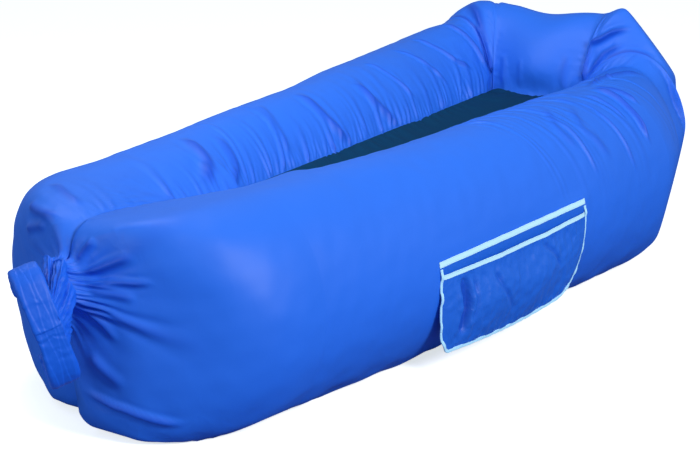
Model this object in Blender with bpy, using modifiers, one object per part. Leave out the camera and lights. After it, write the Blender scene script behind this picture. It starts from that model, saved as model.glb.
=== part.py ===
"""Inflatable air lounger: two air tubes, upright corners, headrest, rolled mouth, buckle and pocket.

Metres, +Z up. +X runs from the foot, where the mouth is rolled shut, to the headrest.
The pocket hangs on the near side, which is -Y. The lounger stands on Z = 0, and the
middle of its length and width is at X = 0, Y = 0.
"""
import bpy
import bmesh
from math import cos, exp, pi, radians, sin, sqrt
from mathutils import Matrix, Vector

# Driving dimensions of the inflated body
BODY_LENGTH = 2.01
FOOT_HALF_WIDTH = 0.330
HEAD_HALF_WIDTH = 0.497
WIDEST_AT = 1.58
NEAR_TUBE_FOOT_HEIGHT = 0.434
FAR_TUBE_FOOT_HEIGHT = 0.446
NEAR_TUBE_HEAD_HEIGHT = 0.474
FAR_TUBE_HEAD_HEIGHT = 0.535
NEAR_GROWTH_POWER = 2.2
FAR_GROWTH_POWER = 1.7
HEADREST_HEIGHT = 0.592
EAR_HEIGHT = 0.622
HEADREST_DEPTH = 0.225
NEAR_FOOT_ROUNDING = 0.300
FAR_FOOT_ROUNDING = 0.300
# For each side: how far the foot's lower end is set back, and how blunt its side, top and underside are
FOOT_END = {-1.0: (0.0, 2.3, 6.0, 10.0), 1.0: (0.030, 2.3, 6.0, 9.0)}
BLUNTNESS_TURN_POWER = 3.0
WIDTH_GROWS_FROM = 0.130
SEAM_FOOT_HEIGHT = 0.432
SEAM_LEAN_LIMIT = 0.03
FOOT_SQUARE_LENGTH = 0.90
FOOT_SQUARE_SHARE = 0.97
FOOT_FILL_POWER = 4.0
FLOOR_SINK = 0.012
CLOTH = 0.0016
GATHERED_CLOTH = 0.0006
SEAM_GAP = 0.0003

# How the body's outline swells and closes, as shares of the sizes above
WIDTH_GROWTH_POWER = 0.75
OUTER_AXIS_SHARE = 0.53
REAR_ROUNDING_POWER = 1.8
REAR_FLAT_SHARE = 0.10
ELBOW_ROUNDING_POWER = 2.6

# The seat cloth let in between the tubes
SEAT_START = 0.52
SEAT_START_ROUNDING = 0.14
SEAT_HALF_WIDTH_START = 0.068
SEAT_HALF_WIDTH_HEAD = 0.135
SEAT_SEAM_HEIGHT_START = 0.345
SEAT_SEAM_HEIGHT_HEAD = 0.375
SEAT_SAG = 0.030
SEAT_SAG_SHARE = 0.25
SEAT_TIP_SHARE = 0.03
SEAT_EDGE_GAP = 0.0014

# The creases where the upright corners meet the tubes and the headrest
NEAR_CREASE_ANGLE = 16.0
HEAD_CREASE_ANGLE = 64.0
CREASE_DEPTH = 0.024
CREASE_ANGLE_WIDTH = 7.0
HEADREST_LOBE = 0.040
LOBE_NOTCH_HEIGHT = 0.055
PINCH_RADIUS = 0.010

# The mouth, gathered at the foot
MOUTH_HEIGHT = 0.300
MOUTH_HALF_WIDTH = 0.036
MOUTH_HALF_HEIGHT = 0.055
MOUTH_REACH = 0.042
MOUTH_REACH_SHARE = 0.30
MOUTH_DRAW_POWER = 1.6
GATHER_FOLDS = 6
GATHER_DEPTH = 0.007
GATHER_REACH = 0.45

# The mouth rolled up and bent round into a ring
RING_DROP = 0.044
RING_CENTRE = Vector((-0.102, -0.032, MOUTH_HEIGHT - RING_DROP))
RING_TURN = 32.0
RING_LEAN = 4.0
RING_PITCH = -16.0
RING_HALF_DEPTH = 0.042
RING_HALF_HEIGHT = 0.108
ROLL_WIDTH = 0.058
ROLL_THICKNESS = 0.020
ROLL_ROUNDING = 0.008
ROLL_HINGE_ANGLE = 150.0
ROLL_END_ANGLE = 33.0
RING_FAR_ANGLE = 180.0
MIDDLE_ROLL_POINTS = 6
ARM_ROLL_POINTS = 12
STRIP_WIDTH = 0.044
STRIP_THICKNESS = 0.0024
STRIP_CLEARANCE = 0.0003
NECK_STEPS = 6
GATHERED_RINGS = 3
NECK_HEIGHT_SHARE = 0.92
NECK_SLIT_SHARE = 0.40
NECK_SLIT_POWER = 0.6

# Webbing and side-release buckle
WEBBING_WIDTH = 0.025
WEBBING_THICKNESS = 0.0014
WEBBING_CLEARANCE = 0.0003
SOCKET_LENGTH = 0.031
SOCKET_WIDTH = 0.036
SOCKET_THICKNESS = 0.0125
SOCKET_WALL = 0.0021
SOCKET_CAVITY_DEPTH = 0.0215
WINDOW_TOP = 0.0075
WINDOW_BOTTOM = 0.0195
PLUG_LENGTH = 0.0135
PLUG_THICKNESS = 0.0105
BUCKLE_EDGE = 0.0012
BAR_SLOT_LENGTH = 0.0052
BAR_THICKNESS = 0.0032
TONGUE_LENGTH = 0.012
TONGUE_HALF_WIDTH = 0.0036
TONGUE_THICKNESS = 0.0026
PRONG_THICKNESS = 0.0034
PRONG_ROOT_INNER = 0.0086
PRONG_ROOT_OUTER = 0.0116
PRONG_LENGTH = 0.0190
BARB_OUTER = 0.0172
BARB_INNER = 0.0100
BARB_TOP = 0.0085
PRONG_SEAT = 0.0003
MATING_GAP = 0.0003
CUT_OVERRUN = 0.002
PLUG_BAR_Y = MATING_GAP + PLUG_LENGTH - BAR_THICKNESS / 2.0
SOCKET_BAR_Y = BAR_THICKNESS / 2.0 - SOCKET_LENGTH
BAR_CORNER_SHARE = 0.72
STRAP_TURN_POINTS = 9
MERGE_DISTANCE = 0.00001

# Side pocket
POCKET_START = 0.630
POCKET_WIDTH = 0.545
POCKET_TOP_START = 0.252
POCKET_TOP_END = 0.278
POCKET_DROP = 0.200
TOP_TAPE_HEIGHT = 0.016
MOUTH_TAPE_HEIGHT = 0.013
MOUTH_DROP = 0.012
BINDING_WIDTH = 0.008
BINDING_GAP = 0.0008
BINDING_STRAIGHT = 0.0015
BINDING_THICKNESS = 0.0036
POCKET_CLOTH = 0.0012
TAPE_THICKNESS = 0.0014
POCKET_LIFT_GAP = 0.0004
POCKET_FREE_DROP = 0.060
BRIDGED_HEIGHT = 0.006
POCKET_FRONT_STAND = 0.0028
POCKET_HINGE_STAND = 0.0036
POCKET_BELLY = 0.028
POCKET_BELLY_POWER = 0.6
POCKET_MOUTH_SHARE = 0.35
POCKET_FULLEST_SHARE = 0.55
POCKET_FOOT_POWER = 3.0
POCKET_FOLD_DEPTH = 0.008
POCKET_FOLDS = 3
POCKET_FOLD_SLANT = 0.9
POCKET_FOOT_CORNER = (0.030, 0.050)
POCKET_HEAD_CORNER = (0.120, 0.150)

# Resolution of the forms
AROUND = 30
SEAT_ACROSS = 8
SEAT_ALONG = 26
FOOT_RINGS = 9
JOINED_STATIONS = 5
OPENING_STATIONS = 4
MIDDLE_STATIONS = 6
HEAD_STATIONS = 4
HEADREST_STEPS = 5
POCKET_TOP_ROWS = 4
POCKET_ROWS = 8
POCKET_COLUMNS = 23
TAPE_ROWS = 3
BINDING_SIDE_POINTS = 9
BINDING_CORNER_POINTS = 6
BINDING_BOTTOM_POINTS = 10

COLOURS = {
    "nylon": ((0.020, 0.150, 0.830, 1.0), 0.45),
    "seat": ((0.003, 0.045, 0.110, 1.0), 0.70),
    "pocket": ((0.016, 0.095, 0.560, 1.0), 0.50),
    "tape": ((0.620, 0.830, 0.930, 1.0), 0.60),
    "webbing": ((0.012, 0.080, 0.450, 1.0), 0.75),
    "plastic": ((0.010, 0.055, 0.300, 1.0), 0.40),
    "strip": ((0.040, 0.045, 0.060, 1.0), 0.50),
}


def clear_scene():
    for item in list(bpy.data.objects):
        bpy.data.objects.remove(item, do_unlink=True)


def make_collection(name):
    collection = bpy.data.collections.new(name)
    bpy.context.scene.collection.children.link(collection)
    return collection


def make_material(name):
    colour, roughness = COLOURS[name]
    material = bpy.data.materials.new(name)
    material.use_nodes = True
    shader = material.node_tree.nodes["Principled BSDF"]
    shader.inputs["Base Color"].default_value = colour
    shader.inputs["Roughness"].default_value = roughness
    shader.inputs["Metallic"].default_value = 0.0
    return material


def object_from_bmesh(mesh_data, name, material, collection, smooth=True):
    mesh = bpy.data.meshes.new(name)
    mesh_data.to_mesh(mesh)
    mesh_data.free()
    if smooth:
        mesh.shade_smooth()
    piece = bpy.data.objects.new(name, mesh)
    piece.data.materials.append(material)
    collection.objects.link(piece)
    return piece


def add_solidify(piece, thickness, offset=-1.0):
    shell = piece.modifiers.new("cloth", "SOLIDIFY")
    shell.thickness = thickness
    shell.offset = offset
    shell.use_rim = True
    return shell


def add_bevel(piece, width, segments=2):
    edge = piece.modifiers.new("edges", "BEVEL")
    edge.width = width
    edge.segments = segments
    edge.limit_method = "ANGLE"
    return edge


def loft_rings(rings, closed_around=True, cap_ends=False):
    """A surface through rings of points; each ring has as many points as the next."""
    mesh_data = bmesh.new()
    rows = [[mesh_data.verts.new(point) for point in ring] for ring in rings]
    count = len(rings[0])
    last = count if closed_around else count - 1
    for row, following in zip(rows, rows[1:]):
        for k in range(last):
            after = (k + 1) % count
            mesh_data.faces.new((row[k], row[after], following[after], following[k]))
    if cap_ends:
        mesh_data.faces.new(list(reversed(rows[0])))
        mesh_data.faces.new(rows[-1])
    bmesh.ops.recalc_face_normals(mesh_data, faces=mesh_data.faces)
    return mesh_data


def shell_of_rings(rings, planes, gathered_rows=0):
    """Cloth just inside a surface through rings, thinner on the gathered rows at its start.

    Its two end edges stay in the planes given by their normals.
    """
    mesh_data = loft_rings(rings)
    mesh_data.normal_update()
    mesh_data.verts.ensure_lookup_table()
    outer = list(mesh_data.verts)
    count = len(rings[0])
    last_row = len(rings) - 1
    inner = []
    for index, vertex in enumerate(outer):
        thickness = GATHERED_CLOTH if index // count < gathered_rows else CLOTH
        shift = vertex.normal * -thickness
        for row, plane in zip((0, last_row), planes):
            if index // count == row:
                shift = (shift - plane * shift.dot(plane)).normalized() * thickness
        inner.append(mesh_data.verts.new(vertex.co + shift))
    for row in range(last_row):
        for k in range(count):
            near, after = row * count + k, row * count + (k + 1) % count
            mesh_data.faces.new((inner[near], inner[near + count], inner[after + count], inner[after]))
    for row in (0, last_row):
        for k in range(count):
            near, after = row * count + k, row * count + (k + 1) % count
            mesh_data.faces.new((outer[near], outer[after], inner[after], inner[near]))
    bmesh.ops.recalc_face_normals(mesh_data, faces=mesh_data.faces)
    return mesh_data


# The body's sections

def smooth_step(value):
    value = min(max(value, 0.0), 1.0)
    return value * value * (3.0 - 2.0 * value)


def head_pinch():
    """The near corner of the seat's head end, where the corner's folds meet."""
    return Vector((BODY_LENGTH - HEADREST_DEPTH, -SEAT_HALF_WIDTH_HEAD, 0.0))


def outer_half_width(x):
    """Half the body's width at mid height, from the foot rounding to the rear."""
    if x <= WIDEST_AT:
        share = max(x - WIDTH_GROWS_FROM, 0.0) / (WIDEST_AT - WIDTH_GROWS_FROM)
        growth = share ** WIDTH_GROWTH_POWER
        return FOOT_HALF_WIDTH + (HEAD_HALF_WIDTH - FOOT_HALF_WIDTH) * growth
    flat = HEAD_HALF_WIDTH * REAR_FLAT_SHARE
    share = (x - WIDEST_AT) / (BODY_LENGTH - WIDEST_AT)
    fall = (1.0 - share ** REAR_ROUNDING_POWER) ** (1.0 / REAR_ROUNDING_POWER)
    return flat + (HEAD_HALF_WIDTH - flat) * fall


def tube_height(x, side):
    """Height of a tube: side -1 is the near tube, +1 the far one, which stands a little prouder."""
    foot, head, power = FAR_TUBE_FOOT_HEIGHT, FAR_TUBE_HEAD_HEIGHT, FAR_GROWTH_POWER
    if side < 0:
        foot, head, power = NEAR_TUBE_FOOT_HEIGHT, NEAR_TUBE_HEAD_HEIGHT, NEAR_GROWTH_POWER
    return foot + (head - foot) * (x / (BODY_LENGTH - HEADREST_DEPTH)) ** power


def seat_half_width(x):
    """How far the seat's seam lies from the middle, zero where the tubes meet."""
    share = (x - SEAT_START) / (head_pinch().x - SEAT_START)
    if share <= 0.0:
        return 0.0
    width = SEAT_HALF_WIDTH_START + (SEAT_HALF_WIDTH_HEAD - SEAT_HALF_WIDTH_START) * share
    opening = min((x - SEAT_START) / SEAT_START_ROUNDING, 1.0)
    return width * sqrt(1.0 - (1.0 - opening) ** 2)


def seam_height(x):
    """Height of the seam between the tubes at the foot, and then of the seat's seams."""
    if x < SEAT_START:
        return SEAM_FOOT_HEIGHT + (SEAT_SEAM_HEIGHT_START - SEAM_FOOT_HEIGHT) * x / SEAT_START
    share = min((x - SEAT_START) / (head_pinch().x - SEAT_START), 1.0)
    return SEAT_SEAM_HEIGHT_START + (SEAT_SEAM_HEIGHT_HEAD - SEAT_SEAM_HEIGHT_START) * share


def section(reach, height, seam, seam_z, apart, lobe=0.0, smallest=0.0):
    """Points (r, z) round one section of the air tube.

    r is measured outward from the seat's seam line or the middle plane. The section is an
    oval with unlike inner and outer halves, cut flat on the floor, whose inner side passes
    through the seam at (seam, seam_z).
    """
    half = (height + FLOOR_SINK) / 2.0
    centre_z = half - FLOOR_SINK
    outer = (reach - apart) * OUTER_AXIS_SHARE
    centre_r = reach - outer
    rise = (seam_z - centre_z) / half
    inner = (centre_r - seam) / sqrt(max(1.0 - rise * rise, SEAM_LEAN_LIMIT))
    inner += lobe
    at_seam = centre_r - inner * sqrt(max(1.0 - rise * rise, 0.0))
    points = []
    for k in range(AROUND):
        angle = 2.0 * pi * k / AROUND - pi / 2.0
        z = centre_z + half * sin(angle)
        if cos(angle) >= 0.0:
            r = centre_r + outer * cos(angle)
        else:
            r = centre_r + inner * cos(angle)
            r += (seam - at_seam) * exp(-((z - seam_z) / LOBE_NOTCH_HEIGHT) ** 2)
        points.append((max(r, smallest), max(z, 0.0)))
    return points


def place_section(points, origin, direction):
    return [Vector((origin.x + direction.x * r, origin.y + direction.y * r, z)) for r, z in points]


def square_under(points, share):
    """Fills the groove under the seam between the tubes, where the foot's cloth bridges it."""
    filled = []
    for k, (r, z) in enumerate(points):
        turn = 2.0 * pi * k / AROUND - pi / 2.0
        under = cos(turn) < 0.0 and sin(turn) < 0.0
        filled.append((r * (1.0 - share) if under else r, z))
    return filled


def straight_ring(x, side, seam_z=None):
    """Section of a side tube square to its length; seam_z is the height of its inner seam."""
    seam_z = seam_z or seam_height(x)
    pinch = head_pinch()
    near_head = smooth_step((x - (pinch.x - HEADREST_DEPTH)) / HEADREST_DEPTH)
    seam = seat_half_width(x)
    apart = SEAT_HALF_WIDTH_HEAD * x / pinch.x
    smallest = SEAM_GAP / 2.0 + (SEAT_HALF_WIDTH_HEAD + PINCH_RADIUS) * near_head
    points = section(outer_half_width(x), tube_height(x, side), seam, seam_z, apart)
    points = square_under(points, FOOT_SQUARE_SHARE * (1.0 - smooth_step(x / FOOT_SQUARE_LENGTH)))
    points = [(max(r, smallest), z) for r, z in points]
    return place_section(points, Vector((x, 0.0, 0.0)), Vector((0.0, side, 0.0)))


def foot_rounding(side):
    return NEAR_FOOT_ROUNDING if side < 0 else FAR_FOOT_ROUNDING


def foot_ring(share, side):
    """Section of a tube's rounded foot end: share 1 is the whole tube and 0 the mouth.

    Seen from above the end is round, and seen from the side it is blunter.
    """
    rounding = foot_rounding(side)
    setback, blunt, top_blunt, under_blunt = FOOT_END[side]
    top_x = rounding * (1.0 - (1.0 - share ** top_blunt) ** (1.0 / top_blunt))
    full = [(abs(point.y), point.z) for point in straight_ring(rounding, side, seam_height(top_x))]
    full = square_under(full, 1.0 - share ** FOOT_FILL_POWER)
    draw = (1.0 - share) ** MOUTH_DRAW_POWER
    ring = []
    for k, (r, z) in enumerate(full):
        turn = 2.0 * pi * k / AROUND - pi / 2.0
        end = setback * (1.0 - sin(turn)) / 2.0
        upright_blunt = under_blunt if sin(turn) < 0.0 else top_blunt
        bluntness = blunt + (upright_blunt - blunt) * abs(sin(turn)) ** BLUNTNESS_TURN_POWER
        back = (1.0 - share ** bluntness) ** (1.0 / bluntness)
        across = (1.0 - back ** blunt) ** (1.0 / blunt)
        reach = (MOUTH_REACH + end) * exp(-(share / MOUTH_REACH_SHARE) ** 2)
        mouth_r = MOUTH_HALF_WIDTH * max(cos(turn), 0.0)
        mouth_z = MOUTH_HEIGHT + MOUTH_HALF_HEIGHT * sin(turn)
        fold = 1.0 + cos(GATHER_FOLDS * turn) if cos(turn) > 0.0 else 0.0
        gather = GATHER_DEPTH * fold * exp(-(share / GATHER_REACH) ** 2)
        point_r = r * across * (1.0 - draw) + mouth_r * draw + gather * cos(turn)
        point_z = MOUTH_HEIGHT + (z - MOUTH_HEIGHT) * share
        point_z = point_z * (1.0 - draw) + mouth_z * draw + gather * sin(turn)
        x = rounding - (rounding - end) * back - reach
        ring.append(Vector((x, side * max(point_r, SEAM_GAP / 2.0), max(point_z, 0.0))))
    return ring


def elbow_reach(angle):
    """How far the corner stands out from the pinch, at an angle from square to the tube."""
    side = outer_half_width(head_pinch().x) - SEAT_HALF_WIDTH_HEAD
    power = ELBOW_ROUNDING_POWER
    total = (cos(angle) / side) ** power + (sin(angle) / HEADREST_DEPTH) ** power
    return total ** (-1.0 / power)


def elbow_height(angle, side):
    """Tube height, up to the ear and down again to the headrest."""
    share = angle / (pi / 2.0)
    start = tube_height(head_pinch().x, side)
    if share < 0.5:
        return start + (EAR_HEIGHT - start) * smooth_step(share / 0.5)
    return EAR_HEIGHT + (HEADREST_HEIGHT - EAR_HEIGHT) * smooth_step((share - 0.5) / 0.5)


def crease(angle):
    depth = 0.0
    for middle in (NEAR_CREASE_ANGLE, HEAD_CREASE_ANGLE):
        away = (angle - radians(middle)) / radians(CREASE_ANGLE_WIDTH)
        depth += exp(-away * away)
    return CREASE_DEPTH * depth


def elbow_ring(angle, side):
    """Section of a corner, in an upright plane through its pinch."""
    drawn = crease(angle)
    points = section(elbow_reach(angle) - drawn / 2.0, elbow_height(angle, side) - drawn, 0.0,
                     SEAT_SEAM_HEIGHT_HEAD, 0.0, smallest=PINCH_RADIUS)
    origin = head_pinch()
    origin.y = side * SEAT_HALF_WIDTH_HEAD
    return place_section(points, origin, Vector((sin(angle), side * cos(angle), 0.0)))


def headrest_ring(share):
    """Section of the headrest, from the near pinch (share 0) to the middle (share 1)."""
    middle = smooth_step(share)
    lobe = HEADREST_LOBE * middle
    smallest = PINCH_RADIUS * (1.0 - middle) - HEADREST_LOBE * middle
    points = section(HEADREST_DEPTH, HEADREST_HEIGHT - SEAT_SAG * middle / 2.0, 0.0,
                     SEAT_SEAM_HEIGHT_HEAD, 0.0, lobe=lobe, smallest=smallest)
    origin = head_pinch()
    origin.y = origin.y * (1.0 - share)
    return place_section(points, origin, Vector((1.0, 0.0, 0.0)))


# The body's panels

def spread(start, end, count):
    return [start + (end - start) * k / (count - 1) for k in range(count)]


def seat_stations():
    """Where the tubes' rings stand along the seat, from its start to the head end."""
    pinch = head_pinch()
    opening = spread(SEAT_START, SEAT_START + SEAT_START_ROUNDING, OPENING_STATIONS)
    middle = spread(SEAT_START + SEAT_START_ROUNDING, pinch.x - HEADREST_DEPTH, MIDDLE_STATIONS)[1:]
    head = spread(pinch.x - HEADREST_DEPTH, pinch.x, HEAD_STATIONS)[1:]
    return opening + middle + head


def tube_rings(side):
    half_gap = SEAM_GAP / 2.0 / (HEAD_HALF_WIDTH - SEAT_HALF_WIDTH_HEAD)
    rings = [foot_ring(sin(turn), side) for turn in spread(0.0, pi / 2.0, FOOT_RINGS)]
    stations = spread(foot_rounding(side), SEAT_START, JOINED_STATIONS)[1:-1] + seat_stations()
    rings += [straight_ring(x, side) for x in stations]
    rings.append(elbow_ring(radians(NEAR_CREASE_ANGLE) / 2.0, side))
    rings.append(elbow_ring(radians(NEAR_CREASE_ANGLE) - half_gap, side))
    return rings


def elbow_rings(side):
    half_gap = SEAM_GAP / 2.0 / (HEAD_HALF_WIDTH - SEAT_HALF_WIDTH_HEAD)
    start = radians(NEAR_CREASE_ANGLE) + half_gap
    end = radians(HEAD_CREASE_ANGLE) - half_gap
    return [elbow_ring(angle, side) for angle in spread(start, end, 8)]


def seam_plane(angle_degrees, side):
    """Normal of the upright plane through a corner's pinch in which a seam lies."""
    angle = radians(angle_degrees)
    return Vector((cos(angle), -side * sin(angle), 0.0))


def make_tubes_and_elbows(material, collection):
    panels = []
    mouth_plane = Vector((1.0, 0.0, 0.0))
    for word, side in (("near", -1.0), ("far", 1.0)):
        foot_seam, head_seam = seam_plane(NEAR_CREASE_ANGLE, side), seam_plane(HEAD_CREASE_ANGLE, side)
        tube = shell_of_rings(tube_rings(side), (mouth_plane, foot_seam), GATHERED_RINGS)
        elbow = shell_of_rings(elbow_rings(side), (foot_seam, head_seam))
        panels.append(object_from_bmesh(tube, word + "_tube", material, collection))
        panels.append(object_from_bmesh(elbow, word + "_elbow", material, collection))
    return panels


def make_headrest(material, collection):
    """Rings from the near corner's seam to the middle plane, and the same again mirrored."""
    half_gap = SEAM_GAP / 2.0 / (HEAD_HALF_WIDTH - SEAT_HALF_WIDTH_HEAD)
    start = radians(HEAD_CREASE_ANGLE) + half_gap
    rings = [elbow_ring(angle, -1.0) for angle in spread(start, pi / 2.0, 4)]
    rings += [headrest_ring(share) for share in spread(0.0, 1.0, HEADREST_STEPS)[1:]]
    rings += [mirrored(ring) for ring in reversed(rings[:-1])]
    planes = (seam_plane(HEAD_CREASE_ANGLE, -1.0), seam_plane(HEAD_CREASE_ANGLE, 1.0))
    return object_from_bmesh(shell_of_rings(rings, planes), "headrest", material, collection)


def mirrored(ring):
    return [Vector((point.x, -point.y, point.z)) for point in ring]


def at_height(run, z):
    """Where a run of points, given from its top down, passes a height."""
    for upper, lower in zip(run, run[1:]):
        if upper.z >= z >= lower.z:
            return upper.lerp(lower, (upper.z - z) / max(upper.z - lower.z, SEAM_GAP))
    return run[-1]


def inner_surface(x, z, side):
    """How far a tube's inner side lies from the middle plane at a height."""
    ring = straight_ring(x, side)
    return abs(at_height(ring[AROUND // 2:] + ring[:1], z).y)


def headrest_wall():
    """The headrest's foremost place at the seat's height."""
    rings = [headrest_ring(share) for share in spread(0.0, 1.0, HEADREST_STEPS)]
    return min(at_height(ring[AROUND // 2:] + ring[:1], SEAT_SEAM_HEIGHT_HEAD).x for ring in rings)


def outer_surface(x, z):
    """How far the near tube's outer side lies from the middle plane at a height."""
    outer = straight_ring(x, -1.0)[:AROUND // 2 + 1]
    return -at_height(outer[::-1], z).y


def seat_edge(x, side):
    """The seat's edge, read between the tube's own rings so that it stays clear of them."""
    stations = seat_stations()
    for before, after in zip(stations, stations[1:]):
        if before <= x <= after:
            share = (x - before) / (after - before)
            start, end = [min(inner_surface(at, seam_height(at) + way * CLOTH, side) for way in (-2.0, 0.0, 2.0))
                          for at in (before, after)]
            return start + (end - start) * share - SEAT_EDGE_GAP
    return 0.0


def make_seat(material, collection):
    """The seat cloth, slung between the two seat seams and the headrest."""
    start = SEAT_START + SEAT_START_ROUNDING * SEAT_TIP_SHARE
    end = headrest_wall() - SEAT_EDGE_GAP
    rows = []
    for x in spread(start, end, SEAT_ALONG):
        z = seam_height(x)
        near = seat_edge(x, -1.0)
        far = seat_edge(x, 1.0)
        share = (x - start) / (end - start)
        sag = SEAT_SAG * smooth_step(share / SEAT_SAG_SHARE) * smooth_step((1.0 - share) / SEAT_SAG_SHARE)
        row = []
        for across in spread(0.0, 1.0, SEAT_ACROSS + 1):
            y = (near + far) * across - near
            row.append(Vector((x, y, z - sag * 4.0 * across * (1.0 - across))))
        rows.append(row)
    panel = object_from_bmesh(loft_rings(rows, closed_around=False), "seat_panel", material, collection)
    add_solidify(panel, CLOTH)
    return panel


# The mouth and its ring

def ring_axes():
    """The ring's own axes: away from the body, across towards the far side, and up along it."""
    turn = radians(RING_TURN)
    away = Vector((-cos(turn), sin(turn), 0.0))
    across = Vector((sin(turn), cos(turn), 0.0))
    upright = Vector((0.0, 0.0, 1.0))
    set_round = Matrix.Rotation(radians(RING_PITCH), 3, across) @ Matrix.Rotation(radians(RING_LEAN), 3, away)
    return set_round @ away, set_round @ across, set_round @ upright


def ring_frame(angle_degrees):
    """Centre of the roll, its direction and its outward normal at an angle round the ring."""
    away, across, upright = ring_axes()
    angle = radians(angle_degrees)
    point = RING_CENTRE + across * (RING_HALF_DEPTH * cos(angle))
    point = point + upright * (RING_HALF_HEIGHT * sin(angle))
    along = upright * (RING_HALF_HEIGHT * cos(angle)) - across * (RING_HALF_DEPTH * sin(angle))
    along.normalize()
    normal = along.cross(away)
    if normal.dot(point - RING_CENTRE) < 0.0:
        normal = -normal
    return point, along, normal


def rounded_rectangle(width, thickness, rounding, steps=3):
    """Points (w, t) round a rectangle with round corners."""
    points = []
    for side_w, side_t, first in ((1, 1, 0.0), (-1, 1, 0.5), (-1, -1, 1.0), (1, -1, 1.5)):
        for k in range(steps + 1):
            angle = pi * (first + 0.5 * k / steps)
            points.append((side_w * (width / 2.0 - rounding) + rounding * cos(angle),
                           side_t * (thickness / 2.0 - rounding) + rounding * sin(angle)))
    return points


def band_rings(outline, angles, skip=0.0):
    """The outline swept round the ring, shortened by skip at both ends."""
    away = ring_axes()[0]
    rings = []
    for position, angle in enumerate(angles):
        point, along, normal = ring_frame(angle)
        if position == 0:
            direction = ring_frame(angles[1])[0] - point
            point = point + direction.normalized() * skip
        if position == len(angles) - 1:
            direction = ring_frame(angles[-2])[0] - point
            point = point + direction.normalized() * skip
        rings.append([point + away * w + normal * t for w, t in outline])
    return rings


def cut_away(piece, cutter):
    """Cuts the cutter out of the piece and keeps the cutter as a hidden guide."""
    cutter.hide_render = True
    cutter.display_type = "WIRE"
    cut = piece.modifiers.new("cut", "BOOLEAN")
    cut.operation = "DIFFERENCE"
    cut.object = cutter
    cut.solver = "EXACT"
    return cut


def make_roll(name, angles, material, strip_material, collection, cutters, strip_name):
    """One length of the rolled mouth with the stiff strip that it is rolled round."""
    outline = rounded_rectangle(ROLL_WIDTH, ROLL_THICKNESS, ROLL_ROUNDING)
    roll = object_from_bmesh(loft_rings(band_rings(outline, angles, SEAM_GAP / 2.0), cap_ends=True),
                             name, material, collection)
    slot_outline = rounded_rectangle(STRIP_WIDTH + 2.0 * STRIP_CLEARANCE,
                                     STRIP_THICKNESS + 2.0 * STRIP_CLEARANCE,
                                     STRIP_THICKNESS / 2.0, steps=1)
    slot = object_from_bmesh(loft_rings(band_rings(slot_outline, angles, -CUT_OVERRUN), cap_ends=True),
                             name + "_slot", material, cutters)
    cut_away(roll, slot)
    strip_outline = rounded_rectangle(STRIP_WIDTH, STRIP_THICKNESS, STRIP_THICKNESS / 2.0 - STRIP_CLEARANCE,
                                      steps=1)
    strip = object_from_bmesh(loft_rings(band_rings(strip_outline, angles, SEAM_GAP), cap_ends=True),
                              strip_name, strip_material, collection)
    return roll, strip


def make_neck(material, collection):
    """The gathered cloth between the foot's mouth and the rolled part of the ring."""
    away, across, upright = ring_axes()
    start_x = -MOUTH_REACH - SEAM_GAP
    rings = []
    for share in spread(0.0, 1.0, NECK_STEPS):
        ring = []
        for k in range(AROUND):
            turn = 2.0 * pi * k / AROUND - pi / 2.0
            gather = GATHER_DEPTH * (1.0 + cos(GATHER_FOLDS * turn))
            opening = Vector((start_x, -(MOUTH_HALF_WIDTH + gather) * cos(turn),
                              MOUTH_HEIGHT + (MOUTH_HALF_HEIGHT + gather) * sin(turn)))
            angle = RING_FAR_ANGLE - (RING_FAR_ANGLE - ROLL_HINGE_ANGLE) * NECK_HEIGHT_SHARE * sin(turn)
            point, along, normal = ring_frame(angle)
            face = point - away * (ROLL_WIDTH / 2.0 + SEAM_GAP)
            bulge = abs(cos(turn)) ** NECK_SLIT_POWER * (1.0 if cos(turn) > 0.0 else -1.0)
            slit = face + normal * (ROLL_THICKNESS * NECK_SLIT_SHARE * bulge)
            ring.append(opening.lerp(slit, share))
        rings.append(ring)
    shell = shell_of_rings(rings, (Vector((1.0, 0.0, 0.0)), away), NECK_STEPS)
    return object_from_bmesh(shell, "mouth_neck", material, collection)


# Webbing and buckle, made lying in the buckle's own frame: x across, y along, z thick

def buckle_matrix():
    away, across, upright = ring_axes()
    centre = ring_frame(0.0)[0]
    matrix = Matrix((away, upright, across)).transposed().to_4x4()
    matrix.translation = centre
    return matrix


def make_block(name, size, centre, material, collection):
    mesh_data = bmesh.new()
    bmesh.ops.create_cube(mesh_data, size=1.0)
    bmesh.ops.scale(mesh_data, vec=size, verts=mesh_data.verts)
    bmesh.ops.translate(mesh_data, vec=centre, verts=mesh_data.verts)
    return object_from_bmesh(mesh_data, name, material, collection, smooth=False)


def outline_solid(name, outline, thickness, material, collection):
    """A flat outline in x and y with a thickness centred on z = 0."""
    curve = bpy.data.curves.new(name + "_outline", "CURVE")
    curve.dimensions = "2D"
    curve.fill_mode = "BOTH"
    curve.extrude = thickness / 2.0
    spline = curve.splines.new("POLY")
    spline.points.add(len(outline) - 1)
    for point, (x, y) in zip(spline.points, outline):
        point.co = (x, y, 0.0, 1.0)
    spline.use_cyclic_u = True
    guide = bpy.data.objects.new(name + "_outline", curve)
    collection.objects.link(guide)
    bpy.context.view_layer.update()
    evaluated = guide.evaluated_get(bpy.context.evaluated_depsgraph_get())
    mesh = bpy.data.meshes.new_from_object(evaluated)
    bpy.data.objects.remove(guide, do_unlink=True)
    mesh_data = bmesh.new()
    mesh_data.from_mesh(mesh)
    bmesh.ops.remove_doubles(mesh_data, verts=mesh_data.verts, dist=MERGE_DISTANCE)
    bmesh.ops.recalc_face_normals(mesh_data, faces=mesh_data.faces)
    return object_from_bmesh(mesh_data, name, material, collection, smooth=False)


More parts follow.
